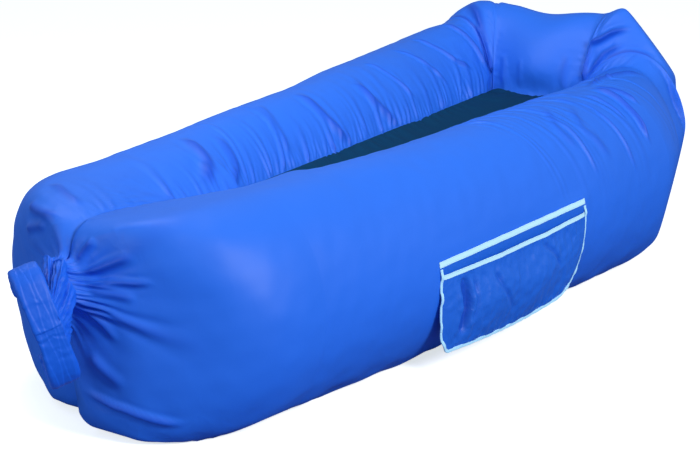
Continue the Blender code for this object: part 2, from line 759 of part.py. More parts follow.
def bar_cutters(name, bar_y, bar_side, thickness, material, cutters):
    """The slot beside a buckle's bar, and the relief above and below the bar."""
    width = WEBBING_WIDTH + 4.0 * WEBBING_CLEARANCE
    slot_y = bar_y - bar_side * (BAR_THICKNESS + BAR_SLOT_LENGTH) / 2.0
    made = [make_block(name + "_slot", (width, BAR_SLOT_LENGTH, thickness + 2.0 * CUT_OVERRUN),
                       (0.0, slot_y, 0.0), material, cutters)]
    height = (thickness - BAR_THICKNESS) / 2.0 + CUT_OVERRUN
    for word, way in (("upper", 1.0), ("lower", -1.0)):
        made.append(make_block(name + "_relief_" + word, (width, BAR_THICKNESS + 2.0 * CUT_OVERRUN, height),
                               (0.0, bar_y, way * (BAR_THICKNESS + height) / 2.0), material, cutters))
    return made


def make_socket(material, collection, cutters, matrix):
    """The buckle's hollow half, with two side windows for the prongs' barbs."""
    socket = make_block("buckle_socket", (SOCKET_WIDTH, SOCKET_LENGTH, SOCKET_THICKNESS),
                        (0.0, -SOCKET_LENGTH / 2.0, 0.0), material, collection)
    cavity_width = SOCKET_WIDTH - 2.0 * SOCKET_WALL
    cavity = make_block("socket_cavity",
                        (cavity_width, SOCKET_CAVITY_DEPTH + CUT_OVERRUN, SOCKET_THICKNESS - 2.0 * SOCKET_WALL),
                        (0.0, (CUT_OVERRUN - SOCKET_CAVITY_DEPTH) / 2.0, 0.0), material, cutters)
    window_length = WINDOW_BOTTOM - WINDOW_TOP
    window = make_block("socket_window",
                        (SOCKET_WIDTH + 2.0 * CUT_OVERRUN, window_length, SOCKET_THICKNESS - 2.0 * SOCKET_WALL),
                        (0.0, -WINDOW_TOP - window_length / 2.0, 0.0), material, cutters)
    add_bevel(socket, BUCKLE_EDGE)
    bar = bar_cutters("socket_bar", SOCKET_BAR_Y, -1.0, SOCKET_THICKNESS, material, cutters)
    for cutter in [cavity, window] + bar:
        cutter.matrix_world = matrix
        cut_away(socket, cutter)
    socket.matrix_world = matrix
    return socket


def make_plug(material, collection, cutters, matrix):
    """The buckle's solid half: a barred block with a middle tongue."""
    plug = make_block("buckle_plug", (SOCKET_WIDTH, PLUG_LENGTH, PLUG_THICKNESS),
                      (0.0, MATING_GAP + PLUG_LENGTH / 2.0, 0.0), material, collection)
    tongue_length = TONGUE_LENGTH + PLUG_LENGTH / 4.0
    tongue = make_block("plug_tongue", (2.0 * TONGUE_HALF_WIDTH, tongue_length, TONGUE_THICKNESS),
                        (0.0, MATING_GAP + PLUG_LENGTH / 4.0 - tongue_length / 2.0, 0.0), material, cutters)
    add_bevel(plug, BUCKLE_EDGE)
    tongue.hide_render = True
    tongue.display_type = "WIRE"
    tongue.matrix_world = matrix
    join = plug.modifiers.new("tongue", "BOOLEAN")
    join.operation = "UNION"
    join.object = tongue
    join.solver = "EXACT"
    for cutter in bar_cutters("plug_bar", PLUG_BAR_Y, 1.0, PLUG_THICKNESS, material, cutters):
        cutter.matrix_world = matrix
        cut_away(plug, cutter)
    plug.matrix_world = matrix
    return plug


def make_prong(name, side, material, collection, matrix):
    """One spring prong, with the barb that catches in the socket's side window."""
    outline = [
        (PRONG_ROOT_INNER, -PRONG_SEAT),
        (PRONG_ROOT_OUTER, -PRONG_SEAT),
        (PRONG_ROOT_OUTER, -BARB_TOP),
        (BARB_OUTER, -BARB_TOP),
        (BARB_OUTER, -BARB_TOP - PRONG_THICKNESS),
        (PRONG_ROOT_OUTER, -PRONG_LENGTH),
        (BARB_INNER, -PRONG_LENGTH),
    ]
    outline = [(side * x, y) for x, y in outline]
    prong = outline_solid(name, outline, PRONG_THICKNESS, material, collection)
    prong.matrix_world = matrix
    return prong


def make_strap(name, roll_angle, bar_y, bar_side, material, collection):
    """Webbing end sewn into the roll: it runs to the buckle, round its bar and back to the roll."""
    matrix = buckle_matrix()
    inverse = matrix.inverted()
    end_point, end_along, end_normal = ring_frame(roll_angle)
    start = inverse @ (end_point - end_along * (bar_side * SEAM_GAP))
    normal = (inverse.to_3x3() @ end_normal).normalized() * (WEBBING_THICKNESS / 2.0 + WEBBING_CLEARANCE)
    radius = BAR_THICKNESS * BAR_CORNER_SHARE + WEBBING_CLEARANCE + WEBBING_THICKNESS / 2.0
    path = [start + normal]
    for angle in spread(pi / 2.0, -pi / 2.0, STRAP_TURN_POINTS):
        path.append(Vector((0.0, bar_y - bar_side * radius * cos(angle), radius * sin(angle))))
    path.append(start - normal)
    half = WEBBING_WIDTH / 2.0
    rows = [[Vector((-half, point.y, point.z)), Vector((half, point.y, point.z))] for point in path]
    strap = object_from_bmesh(loft_rings(rows, closed_around=False), name, material, collection)
    add_solidify(strap, WEBBING_THICKNESS, offset=0.0)
    strap.matrix_world = matrix
    return strap


# Side pocket, in its own plan: s along its top edge from the foot side, and the drop below that edge

def hang_surface(x, z):
    """Where cloth lies that rests on the near tube and hangs straight down below its widest line."""
    widest = (tube_height(x, -1.0) - FLOOR_SINK) / 2.0
    return max(outer_surface(x, max(z + way * BRIDGED_HEIGHT, widest)) for way in (-1.0, 0.0, 1.0))


def pocket_point(s, drop, stand):
    """A point of the pocket, standing off the cloth that it lies on."""
    x = POCKET_START + s
    z = POCKET_TOP_START + (POCKET_TOP_END - POCKET_TOP_START) * s / POCKET_WIDTH - drop
    return Vector((x, -hang_surface(x, z) - stand, z))


def pocket_edges(drop, inset):
    """Where the pocket's two side edges lie at a drop, inset from its outline."""
    reaches = []
    for width, height in (POCKET_FOOT_CORNER, POCKET_HEAD_CORNER):
        into = max(drop - (POCKET_DROP - height), 0.0) / (height - inset)
        reaches.append(inset + (width - inset) * (1.0 - sqrt(max(1.0 - into * into, 0.0))))
    return reaches[0], POCKET_WIDTH - reaches[1]


def front_stand(share, down):
    """How far the front cloth stands off: shares across the pocket and down from its mouth."""
    across = sin(pi * share) ** POCKET_BELLY_POWER
    along = POCKET_MOUTH_SHARE + (1.0 - POCKET_MOUTH_SHARE) * smooth_step(down / POCKET_FULLEST_SHARE)
    along *= 1.0 - down ** POCKET_FOOT_POWER
    fold = (1.0 + cos(2.0 * pi * POCKET_FOLDS * share + POCKET_FOLD_SLANT * down)) / 2.0
    return POCKET_FRONT_STAND + across * along * (POCKET_BELLY + POCKET_FOLD_DEPTH * fold)


def pocket_cloth(name, top_drop, stand_at, material, collection):
    """A cloth of the pocket, from a drop down to the binding at its bottom."""
    inset = BINDING_WIDTH + BINDING_GAP
    bottom = POCKET_DROP - inset
    drops = spread(top_drop, POCKET_FREE_DROP, POCKET_TOP_ROWS)[:-1]
    drops += [POCKET_FREE_DROP + (bottom - POCKET_FREE_DROP) * sin(turn)
              for turn in spread(0.0, pi / 2.0, POCKET_ROWS)]
    rows = []
    for drop in drops:
        first, last = pocket_edges(drop, inset)
        down = (drop - top_drop) / (bottom - top_drop)
        rows.append([pocket_point(first + (last - first) * share, drop, stand_at(share, down))
                     for share in spread(0.0, 1.0, POCKET_COLUMNS)])
    cloth = object_from_bmesh(loft_rings(rows, closed_around=False), name, material, collection)
    add_solidify(cloth, POCKET_CLOTH, offset=0.0)
    return cloth


def pocket_tape(name, top_drop, height, ends, stand_at, material, collection):
    """A tape along the pocket's top or mouth, ending a little inside the pocket's sides."""
    rows = []
    for drop in spread(top_drop, top_drop + height, TAPE_ROWS):
        rows.append([pocket_point(ends + (POCKET_WIDTH - 2.0 * ends) * share, drop, stand_at(share))
                     for share in spread(0.0, 1.0, POCKET_COLUMNS)])
    tape = object_from_bmesh(loft_rings(rows, closed_around=False), name, material, collection)
    add_solidify(tape, TAPE_THICKNESS, offset=0.0)
    return tape


def pocket_binding(name, path, material, collection):
    """Binding folded over the pocket's edge, along a path of (s, drop) points."""
    rings = []
    for position, (s, drop) in enumerate(path):
        before = path[max(position - 1, 0)]
        after = path[min(position + 1, len(path) - 1)]
        run = Vector((after[0] - before[0], after[1] - before[1])).normalized()
        across = Vector((-run.y, run.x)) * (BINDING_WIDTH / 2.0)
        rings.append([pocket_point(s + across.x * way, drop + across.y * way, POCKET_LIFT_GAP + thick)
                      for way, thick in ((1, 0.0), (1, BINDING_THICKNESS), (-1, BINDING_THICKNESS), (-1, 0.0))])
    return object_from_bmesh(loft_rings(rings, cap_ends=True), name, material, collection, smooth=False)


def binding_paths():
    """The binding's middle line: down the foot side, round the bottom, and up the head side."""
    inset = BINDING_WIDTH / 2.0
    (foot_w, foot_h), (head_w, head_h) = POCKET_FOOT_CORNER, POCKET_HEAD_CORNER
    top = TOP_TAPE_HEIGHT + SEAM_GAP
    half_gap = SEAM_GAP / 2.0
    foot_side = [(inset, drop) for drop in spread(top, POCKET_DROP - foot_h - half_gap, BINDING_SIDE_POINTS)]
    head_side = [(POCKET_WIDTH - inset, drop)
                 for drop in spread(top, POCKET_DROP - head_h - half_gap, BINDING_SIDE_POINTS)]
    bottom = []
    for turn in spread(0.0, pi / 2.0, BINDING_CORNER_POINTS):
        bottom.append((foot_w - (foot_w - inset) * cos(turn), POCKET_DROP - foot_h + (foot_h - inset) * sin(turn)))
    for s in spread(foot_w, POCKET_WIDTH - head_w, BINDING_BOTTOM_POINTS)[1:-1]:
        bottom.append((s, POCKET_DROP - inset))
    for turn in spread(pi / 2.0, 0.0, 2 * BINDING_CORNER_POINTS):
        bottom.append((POCKET_WIDTH - head_w + (head_w - inset) * cos(turn),
                       POCKET_DROP - head_h + (head_h - inset) * sin(turn)))
    starts = [(s, drop + half_gap) for s, drop in (bottom[0], bottom[-1])]
    straights = [(s, drop + BINDING_STRAIGHT) for s, drop in starts]
    bottom = [starts[0], straights[0]] + bottom[1:-1] + [straights[1], starts[1]]
    return foot_side, bottom, head_side


def make_pocket(tape, cloth, collection):
    """The top tape, which is sewn to the tube, and the hanging pieces of the pocket."""
    flat = POCKET_LIFT_GAP + TAPE_THICKNESS / 2.0
    top_tape = pocket_tape("pocket_top_tape", 0.0, TOP_TAPE_HEIGHT, 0.0, lambda share: flat, tape, collection)
    mouth = TOP_TAPE_HEIGHT + MOUTH_DROP
    hanging = [
        pocket_cloth("pocket_back", TOP_TAPE_HEIGHT + SEAM_GAP,
                     lambda share, down: POCKET_LIFT_GAP + POCKET_CLOTH / 2.0, cloth, collection),
        pocket_cloth("pocket_front", mouth + MOUTH_TAPE_HEIGHT + SEAM_GAP, front_stand, cloth, collection),
        pocket_tape("pocket_mouth_tape", mouth, MOUTH_TAPE_HEIGHT, BINDING_WIDTH + BINDING_GAP,
                    lambda share: front_stand(share, 0.0), tape, collection),
    ]
    names = ("pocket_binding_foot", "pocket_binding_bottom", "pocket_binding_head")
    for name, path in zip(names, binding_paths()):
        hanging.append(pocket_binding(name, path, tape, collection))
    return top_tape, hanging


# Joints

def make_hinge(name, place, pieces, collection, parent=None):
    """An empty on a joint's axis that carries the pieces which turn about it."""
    hinge = bpy.data.objects.new(name, None)
    hinge.location = place
    collection.objects.link(hinge)
    bpy.context.view_layer.update()
    carry(hinge, pieces)
    if parent:
        carry(parent, [hinge])
    return hinge


def carry(parent, pieces):
    for piece in pieces:
        piece.parent = parent
        piece.matrix_parent_inverse = parent.matrix_world.inverted()


def arm_hinge_place(angle):
    point, along, normal = ring_frame(angle)
    return point + normal * (ROLL_THICKNESS / 2.0)


def centring_shift(pieces):
    """How far everything moves along X to bring the middle of the length to X = 0."""
    bpy.context.view_layer.update()
    graph = bpy.context.evaluated_depsgraph_get()
    xs = []
    for piece in pieces:
        evaluated = piece.evaluated_get(graph)
        xs += [(evaluated.matrix_world @ vertex.co).x for vertex in evaluated.data.vertices]
    return -(min(xs) + max(xs)) / 2.0


def make_rolls(nylon, strip, collection, cutters):
    """The rolled mouth in its three lengths: the fixed middle and the two arms."""
    hinge = ROLL_HINGE_ANGLE
    end = ROLL_END_ANGLE
    lengths = (
        ("middle", spread(hinge, 2.0 * RING_FAR_ANGLE - hinge, MIDDLE_ROLL_POINTS)),
        ("upper", spread(hinge, end, ARM_ROLL_POINTS)),
        ("lower", spread(2.0 * RING_FAR_ANGLE - hinge, 2.0 * RING_FAR_ANGLE - end, ARM_ROLL_POINTS)),
    )
    return [make_roll("mouth_roll_" + word, angles, nylon, strip, collection, cutters, "stiff_strip_" + word)
            for word, angles in lengths]


def main():
    clear_scene()
    parts = make_collection("air_lounger")
    cutters = make_collection("cutters")
    materials = {name: make_material(name) for name in COLOURS}
    nylon, webbing, plastic = materials["nylon"], materials["webbing"], materials["plastic"]
    fixed = make_tubes_and_elbows(nylon, parts)
    fixed += [make_headrest(nylon, parts), make_seat(materials["seat"], parts), make_neck(nylon, parts)]
    middle, upper, lower = make_rolls(nylon, materials["strip"], parts, cutters)
    matrix = buckle_matrix()
    lower_end = 2.0 * RING_FAR_ANGLE - ROLL_END_ANGLE
    upper_arm = list(upper) + [make_plug(plastic, parts, cutters, matrix),
                               make_strap("strap_upper", ROLL_END_ANGLE, PLUG_BAR_Y, 1.0, webbing, parts)]
    lower_arm = list(lower) + [make_socket(plastic, parts, cutters, matrix),
                               make_strap("strap_lower", lower_end, SOCKET_BAR_Y, -1.0, webbing, parts)]
    upper_hinge = make_hinge("hinge_upper", arm_hinge_place(ROLL_HINGE_ANGLE), upper_arm, parts)
    make_hinge("hinge_lower", arm_hinge_place(2.0 * RING_FAR_ANGLE - ROLL_HINGE_ANGLE), lower_arm, parts)
    prongs = []
    for word, side in (("outer", 1.0), ("inner", -1.0)):
        prong = make_prong("buckle_prong_" + word, side, plastic, parts, matrix)
        root = matrix @ Vector((side * (PRONG_ROOT_INNER + PRONG_ROOT_OUTER) / 2.0, -PRONG_SEAT, 0.0))
        make_hinge("hinge_prong_" + word, root, [prong], parts, upper_hinge)
        prongs.append(prong)
    top_tape, hanging = make_pocket(materials["tape"], materials["pocket"], parts)
    foot_end = pocket_point(0.0, TOP_TAPE_HEIGHT, POCKET_HINGE_STAND)
    head_end = pocket_point(POCKET_WIDTH, TOP_TAPE_HEIGHT, POCKET_HINGE_STAND)
    make_hinge("hinge_pocket", (foot_end + head_end) / 2.0, hanging, parts)
    pieces = fixed + list(middle) + upper_arm + lower_arm + prongs + [top_tape] + hanging
    shift = centring_shift(pieces)
    for item in bpy.data.objects:
        if item.parent is None:
            item.location.x += shift
    bpy.context.view_layer.update()
    away, across, upright = ring_axes()
    print("pieces", len(pieces), "shift", round(shift, 5))
    for item in parts.objects:
        if item.type == "EMPTY":
            print(item.name, [round(value, 5) for value in item.matrix_world.translation])
    for word, axis in (("away", away), ("across", across), ("pocket", (head_end - foot_end).normalized())):
        print(word, [round(value, 6) for value in axis])


main()
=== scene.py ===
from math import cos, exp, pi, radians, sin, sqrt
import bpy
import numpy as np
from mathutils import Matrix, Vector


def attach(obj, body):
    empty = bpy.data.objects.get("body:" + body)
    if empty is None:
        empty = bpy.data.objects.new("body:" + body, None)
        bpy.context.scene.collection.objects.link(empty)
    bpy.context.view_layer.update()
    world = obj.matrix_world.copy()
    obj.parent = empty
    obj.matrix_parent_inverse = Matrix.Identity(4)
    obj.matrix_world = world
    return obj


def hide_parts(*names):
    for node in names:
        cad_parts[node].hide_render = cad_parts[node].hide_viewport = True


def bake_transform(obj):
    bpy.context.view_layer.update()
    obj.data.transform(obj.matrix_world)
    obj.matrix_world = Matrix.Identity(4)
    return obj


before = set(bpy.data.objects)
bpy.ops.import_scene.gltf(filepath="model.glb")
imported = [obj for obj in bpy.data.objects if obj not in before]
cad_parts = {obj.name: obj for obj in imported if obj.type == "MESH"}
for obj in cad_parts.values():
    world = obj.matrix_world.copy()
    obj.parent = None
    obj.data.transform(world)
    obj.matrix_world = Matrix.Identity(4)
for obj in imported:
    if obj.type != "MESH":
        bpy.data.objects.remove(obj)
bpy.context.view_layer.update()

# %% [markdown]
# # Inflatable air lounger
# The lounger is one bag of thin coated nylon: two long air tubes, two upright corners and a headrest,
# closed by rolling up its mouth at the foot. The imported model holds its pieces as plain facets. This
# script gives each piece its cloth: the same section law drawn finely, puckers and folds as real
# geometry, and materials made of nodes. X runs from the foot to the head, and -Y is the pocket's side.
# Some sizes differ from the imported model's by millimetres, because the cloth in the photograph does: the
# heights of the headrest and corners, the foot's ends, the rise of the far tube, the depth of the corners'
# creases, and the sag, gaps and binding of the pocket.

SHIFT = np.array([-0.92497, 0.0, 0.0])

# %% sizes of the body, in metres, with X from the foot
BODY_LENGTH = 2.01
FOOT_HALF_WIDTH = 0.330
HEAD_HALF_WIDTH = 0.497
WIDTH_GROWS_FROM = 0.130
WIDEST_AT = 1.58
TUBE_HEIGHTS = {-1.0: (0.434, 0.474, 2.2), 1.0: (0.446, 0.535, 1.7)}
HEADREST_HEIGHT = 0.600
EAR_HEIGHTS = {-1.0: 0.620, 1.0: 0.609}
HEADREST_DEPTH = 0.225
PINCH_X = BODY_LENGTH - HEADREST_DEPTH
FOOT_ROUNDING = 0.300
FOOT_END = {-1.0: (-0.008, 2.3, 6.0, 10.0), 1.0: (0.044, 2.3, 6.0, 8.0)}
BLUNTNESS_TURN_POWER = 3.0
FOOT_SQUARE_LENGTH = 0.90
FOOT_SQUARE_SHARE = 0.97
FOOT_FILL_POWER = 4.0
FLOOR_SINK = 0.012
WIDTH_GROWTH_POWER = 0.75
OUTER_AXIS_SHARE = 0.53
REAR_ROUNDING_POWER = 1.8
REAR_FLAT_SHARE = 0.10
ELBOW_ROUNDING_POWER = 2.6
SEAT_START = 0.52
SEAT_START_ROUNDING = 0.14
SEAT_HALF_WIDTHS = (0.068, 0.135)
SEAM_FOOT_HEIGHT = 0.432
SEAM_LEAN_LIMIT = 0.03
SEAT_SEAM_HEIGHTS = (0.345, 0.375)
SEAT_SAG = 0.030
CREASE_ANGLES = (16.0, 64.0)
EAR_ANGLE = 45.0
CREASE_DEPTH = 0.006
CREASE_ANGLE_WIDTH = 5.0
FAR_RISE = 0.016
FAR_RISE_FROM = 1.60
HEADREST_LOBE = 0.040
LOBE_NOTCH_HEIGHT = 0.055
PINCH_RADIUS = 0.010
MOUTH_HEIGHT = 0.300
MOUTH_HALF_WIDTH = 0.036
MOUTH_HALF_HEIGHT = 0.055
MOUTH_REACH = 0.042
MOUTH_REACH_SHARE = 0.30
MOUTH_DRAW_POWER = 1.6
GATHER_FOLDS = 6
GATHER_DEPTH = 0.007
GATHER_REACH = 0.45
SEAM_GAP = 0.0003

# Columns of a panel: up its outer side, over to the seat's seam, and down its inner side
OUTER_COLUMNS = 112
TOP_COLUMNS = 60
INNER_COLUMNS = 52
AROUND = OUTER_COLUMNS + TOP_COLUMNS + INNER_COLUMNS
SEAM_COLUMN = OUTER_COLUMNS + TOP_COLUMNS
HALF_TURN = 720
TURNS = np.linspace(-pi / 2.0, 1.5 * pi, 2 * HALF_TURN + 1)


# %% [markdown]
# ## The law of the sections
# Every section of the bag is an oval that stands on the floor and passes through the seat's seam on
# its inner side. The tubes, the corners and the headrest all use it, so their edges agree.

# %% widths and heights along the body
def smooth_step(value):
    value = np.clip(value, 0.0, 1.0)
    return value * value * (3.0 - 2.0 * value)


def outer_half_width(x):
    if x <= WIDEST_AT:
        share = max(x - WIDTH_GROWS_FROM, 0.0) / (WIDEST_AT - WIDTH_GROWS_FROM)
        return FOOT_HALF_WIDTH + (HEAD_HALF_WIDTH - FOOT_HALF_WIDTH) * share ** WIDTH_GROWTH_POWER
    flat = HEAD_HALF_WIDTH * REAR_FLAT_SHARE
    share = (x - WIDEST_AT) / (BODY_LENGTH - WIDEST_AT)
    fall = (1.0 - share ** REAR_ROUNDING_POWER) ** (1.0 / REAR_ROUNDING_POWER)
    return flat + (HEAD_HALF_WIDTH - flat) * fall


def tube_height(x, side):
    foot, head, power = TUBE_HEIGHTS[side]
    raised = FAR_RISE * smooth_step((x - FAR_RISE_FROM) / (PINCH_X - FAR_RISE_FROM)) if side > 0.0 else 0.0
    return foot + (head - foot) * (x / PINCH_X) ** power + raised


def seat_half_width(x):
    share = (x - SEAT_START) / (PINCH_X - SEAT_START)
    if share <= 0.0:
        return 0.0
    width = SEAT_HALF_WIDTHS[0] + (SEAT_HALF_WIDTHS[1] - SEAT_HALF_WIDTHS[0]) * share
    opening = min((x - SEAT_START) / SEAT_START_ROUNDING, 1.0)
    return width * sqrt(1.0 - (1.0 - opening) ** 2)


def seam_height(x):
    if x < SEAT_START:
        return SEAM_FOOT_HEIGHT + (SEAT_SEAM_HEIGHTS[0] - SEAM_FOOT_HEIGHT) * x / SEAT_START
    share = min((x - SEAT_START) / (PINCH_X - SEAT_START), 1.0)
    return SEAT_SEAM_HEIGHTS[0] + (SEAT_SEAM_HEIGHTS[1] - SEAT_SEAM_HEIGHTS[0]) * share


# %% one section, and its points set evenly round it
def section(reach, height, seam, seam_z, apart, lobe=0.0, smallest=0.0):
    """r and z round one section, and which point lies on the seam; r is measured outward."""
    half = (height + FLOOR_SINK) / 2.0
    centre_z = half - FLOOR_SINK
    outer = (reach - apart) * OUTER_AXIS_SHARE
    centre_r = reach - outer
    rise = (seam_z - centre_z) / half
    inner = (centre_r - seam) / sqrt(max(1.0 - rise * rise, SEAM_LEAN_LIMIT)) + lobe
    at_seam = centre_r - inner * sqrt(max(1.0 - rise * rise, 0.0))
    z = centre_z + half * np.sin(TURNS)
    across = np.cos(TURNS)
    r = centre_r + np.where(across >= 0.0, outer, inner) * across
    notch = (seam - at_seam) * np.exp(-((z - seam_z) / LOBE_NOTCH_HEIGHT) ** 2)
    r = r + np.where(across < 0.0, notch, 0.0)
    seam_index = HALF_TURN + int(np.argmax(z[HALF_TURN:] <= min(seam_z, z[HALF_TURN] - 1e-5)))
    return np.maximum(r, smallest), np.maximum(z, 0.0), seam_index


def lengths_along(points):
    """Distance along a path at each of its points."""
    steps = np.linalg.norm(np.diff(points, axis=0), axis=1)
    return np.concatenate([[0.0], np.cumsum(steps)])


def points_at(wanted, lengths, values):
    """The values of a path at the wanted distances along it."""
    return np.stack([np.interp(wanted, lengths, column) for column in values.T], axis=1)


def even_run(points, count):
    lengths = lengths_along(points)
    wanted = np.linspace(0.0, lengths[-1], count, endpoint=False)
    return points_at(wanted, lengths, points)


def even_ring(points, seam_index):
    return np.concatenate([even_run(points[:HALF_TURN + 1], OUTER_COLUMNS),
                           even_run(points[HALF_TURN:seam_index + 1], TOP_COLUMNS),
                           even_run(points[seam_index:], INNER_COLUMNS)])


def place_section(r, z, seam_index, origin, direction):
    ring = np.stack([origin[0] + direction[0] * r, origin[1] + direction[1] * r, z], axis=1)
    return even_ring(ring, seam_index)


def straight_section(x, side, seam_z=None):
    near_head = smooth_step((x - (PINCH_X - HEADREST_DEPTH)) / HEADREST_DEPTH)
    apart = SEAT_HALF_WIDTHS[1] * x / PINCH_X
    smallest = SEAM_GAP / 2.0 + (SEAT_HALF_WIDTHS[1] + PINCH_RADIUS) * near_head
    r, z, seam_index = section(outer_half_width(x), tube_height(x, side), seat_half_width(x),
                               seam_z or seam_height(x), apart)
    r = square_under(r, FOOT_SQUARE_SHARE * (1.0 - smooth_step(x / FOOT_SQUARE_LENGTH)))
    return np.maximum(r, smallest), z, seam_index


def square_under(r, share):
    """Fills the groove under the seam between the tubes, where the foot's cloth bridges it."""
    under = (np.cos(TURNS) < 0.0) & (np.sin(TURNS) < 0.0)
    return np.where(under, r * (1.0 - share), r)


def straight_ring(x, side):
    return place_section(*straight_section(x, side), (x, 0.0), (0.0, side))


# %% the rounded foot, the corners and the headrest
def foot_ring(share, side):
    """Section of a tube's rounded foot end: share 1 is the whole tube and 0 the mouth."""
    setback, blunt, top_blunt, under_blunt = FOOT_END[side]
    top_x = FOOT_ROUNDING * (1.0 - (1.0 - share ** top_blunt) ** (1.0 / top_blunt))
    full_r, full_z, seam_index = straight_section(FOOT_ROUNDING, side, seam_height(top_x))
    full_r = square_under(full_r, 1.0 - share ** FOOT_FILL_POWER)
    draw = (1.0 - share) ** MOUTH_DRAW_POWER
    up = np.sin(TURNS)
    end = setback * (1.0 - up) / 2.0
    end_blunt = np.where(up < 0.0, under_blunt, top_blunt)
    bluntness = blunt + (end_blunt - blunt) * np.abs(up) ** BLUNTNESS_TURN_POWER
    back = np.maximum(1.0 - share ** bluntness, 0.0) ** (1.0 / bluntness)
    across = np.maximum(1.0 - back ** blunt, 0.0) ** (1.0 / blunt)
    reach = (MOUTH_REACH + end) * exp(-(share / MOUTH_REACH_SHARE) ** 2)
    outward = np.maximum(np.cos(TURNS), 0.0)
    fold = np.where(outward > 0.0, 1.0 + np.cos(GATHER_FOLDS * TURNS), 0.0)
    gather = GATHER_DEPTH * fold * exp(-(share / GATHER_REACH) ** 2)
    r = full_r * across * (1.0 - draw) + MOUTH_HALF_WIDTH * outward * draw + gather * np.cos(TURNS)
    z = MOUTH_HEIGHT + (full_z - MOUTH_HEIGHT) * share
    z = z * (1.0 - draw) + (MOUTH_HEIGHT + MOUTH_HALF_HEIGHT * up) * draw + gather * up
    x = FOOT_ROUNDING - (FOOT_ROUNDING - end) * back - reach
    ring = np.stack([x, side * np.maximum(r, SEAM_GAP / 2.0), np.maximum(z, 0.0)], axis=1)
    return even_ring(ring, seam_index)


def elbow_ring(degrees, side):
    """Section of a corner, in an upright plane through its pinch."""
    angle = radians(degrees)
    width = outer_half_width(PINCH_X) - SEAT_HALF_WIDTHS[1]
    power = ELBOW_ROUNDING_POWER
    reach = ((cos(angle) / width) ** power + (sin(angle) / HEADREST_DEPTH) ** power) ** (-1.0 / power)
    start, ear = tube_height(PINCH_X, side), EAR_HEIGHTS[side]
    if degrees < EAR_ANGLE:
        height = start + (ear - start) * smooth_step(degrees / EAR_ANGLE)
    else:
        height = ear + (HEADREST_HEIGHT - ear) * smooth_step(degrees / EAR_ANGLE - 1.0)
    drawn = CREASE_DEPTH * sum(exp(-((degrees - middle) / CREASE_ANGLE_WIDTH) ** 2)
                               for middle in CREASE_ANGLES)
    found = section(reach - drawn / 2.0, height - drawn, 0.0, SEAT_SEAM_HEIGHTS[1], 0.0,
                    smallest=PINCH_RADIUS)
    return place_section(*found, (PINCH_X, side * SEAT_HALF_WIDTHS[1]), (sin(angle), side * cos(angle)))


def headrest_ring(share):
    """Section of the headrest: share 0 is a pinch and 1 the middle."""
    middle = smooth_step(share)
    smallest = PINCH_RADIUS * (1.0 - middle) - HEADREST_LOBE * middle
    found = section(HEADREST_DEPTH, HEADREST_HEIGHT - SEAT_SAG * middle / 2.0, 0.0,
                    SEAT_SEAM_HEIGHTS[1], 0.0, lobe=HEADREST_LOBE * middle, smallest=smallest)
    return place_section(*found, (PINCH_X, -SEAT_HALF_WIDTHS[1] * (1.0 - share)), (1.0, 0.0))


# %% [markdown]
# ## Cloth as a grid
# A panel is a grid of points: rows along it and columns round it. Its puckers and folds are moves
# along its own normals. A pucker starts at a seam, where the longer panel is gathered into it, and
# runs out square to the seam, wider and shallower. The moves are geometry and not a bump.

# %% grids, lengths and normals
def run_lengths(grid, axis):
    steps = np.linalg.norm(np.diff(grid, axis=axis), axis=2)
    zero = np.zeros((1, grid.shape[1]) if axis == 0 else (grid.shape[0], 1))
    return np.concatenate([zero, np.cumsum(steps, axis=axis)], axis=axis)


def from_either_end(grid):
    """Distance along a panel from the nearer of its two ends."""
    return np.minimum(run_lengths(grid, 0), run_lengths(grid[::-1], 0)[::-1])


def above_seam(around):
    """Distance up the skin from the seat's seam, and -1 on the rest of the section."""
    columns = np.arange(AROUND)[None, :]
    upward = (columns <= SEAM_COLUMN) & (columns > OUTER_COLUMNS // 2)
    return np.where(upward, around[:, SEAM_COLUMN:SEAM_COLUMN + 1] - around, -1.0)


def near_seam(up_from_seam, reach):
    """1 at the seat's seam, falling off up the skin."""
    return np.exp(-np.where(up_from_seam < 0.0, 1.0, up_from_seam) / reach)


def grid_normals(grid, outward, closed=True):
    along = np.gradient(grid, axis=0)
    around = np.gradient(grid, axis=1)
    if closed:
        padded = np.concatenate([grid[:, -1:], grid, grid[:, :1]], axis=1)
        around = (padded[:, 2:] - padded[:, :-2]) / 2.0
    normal = np.cross(along, around)
    normal /= np.maximum(np.linalg.norm(normal, axis=2, keepdims=True), 1e-12)
    return normal * outward


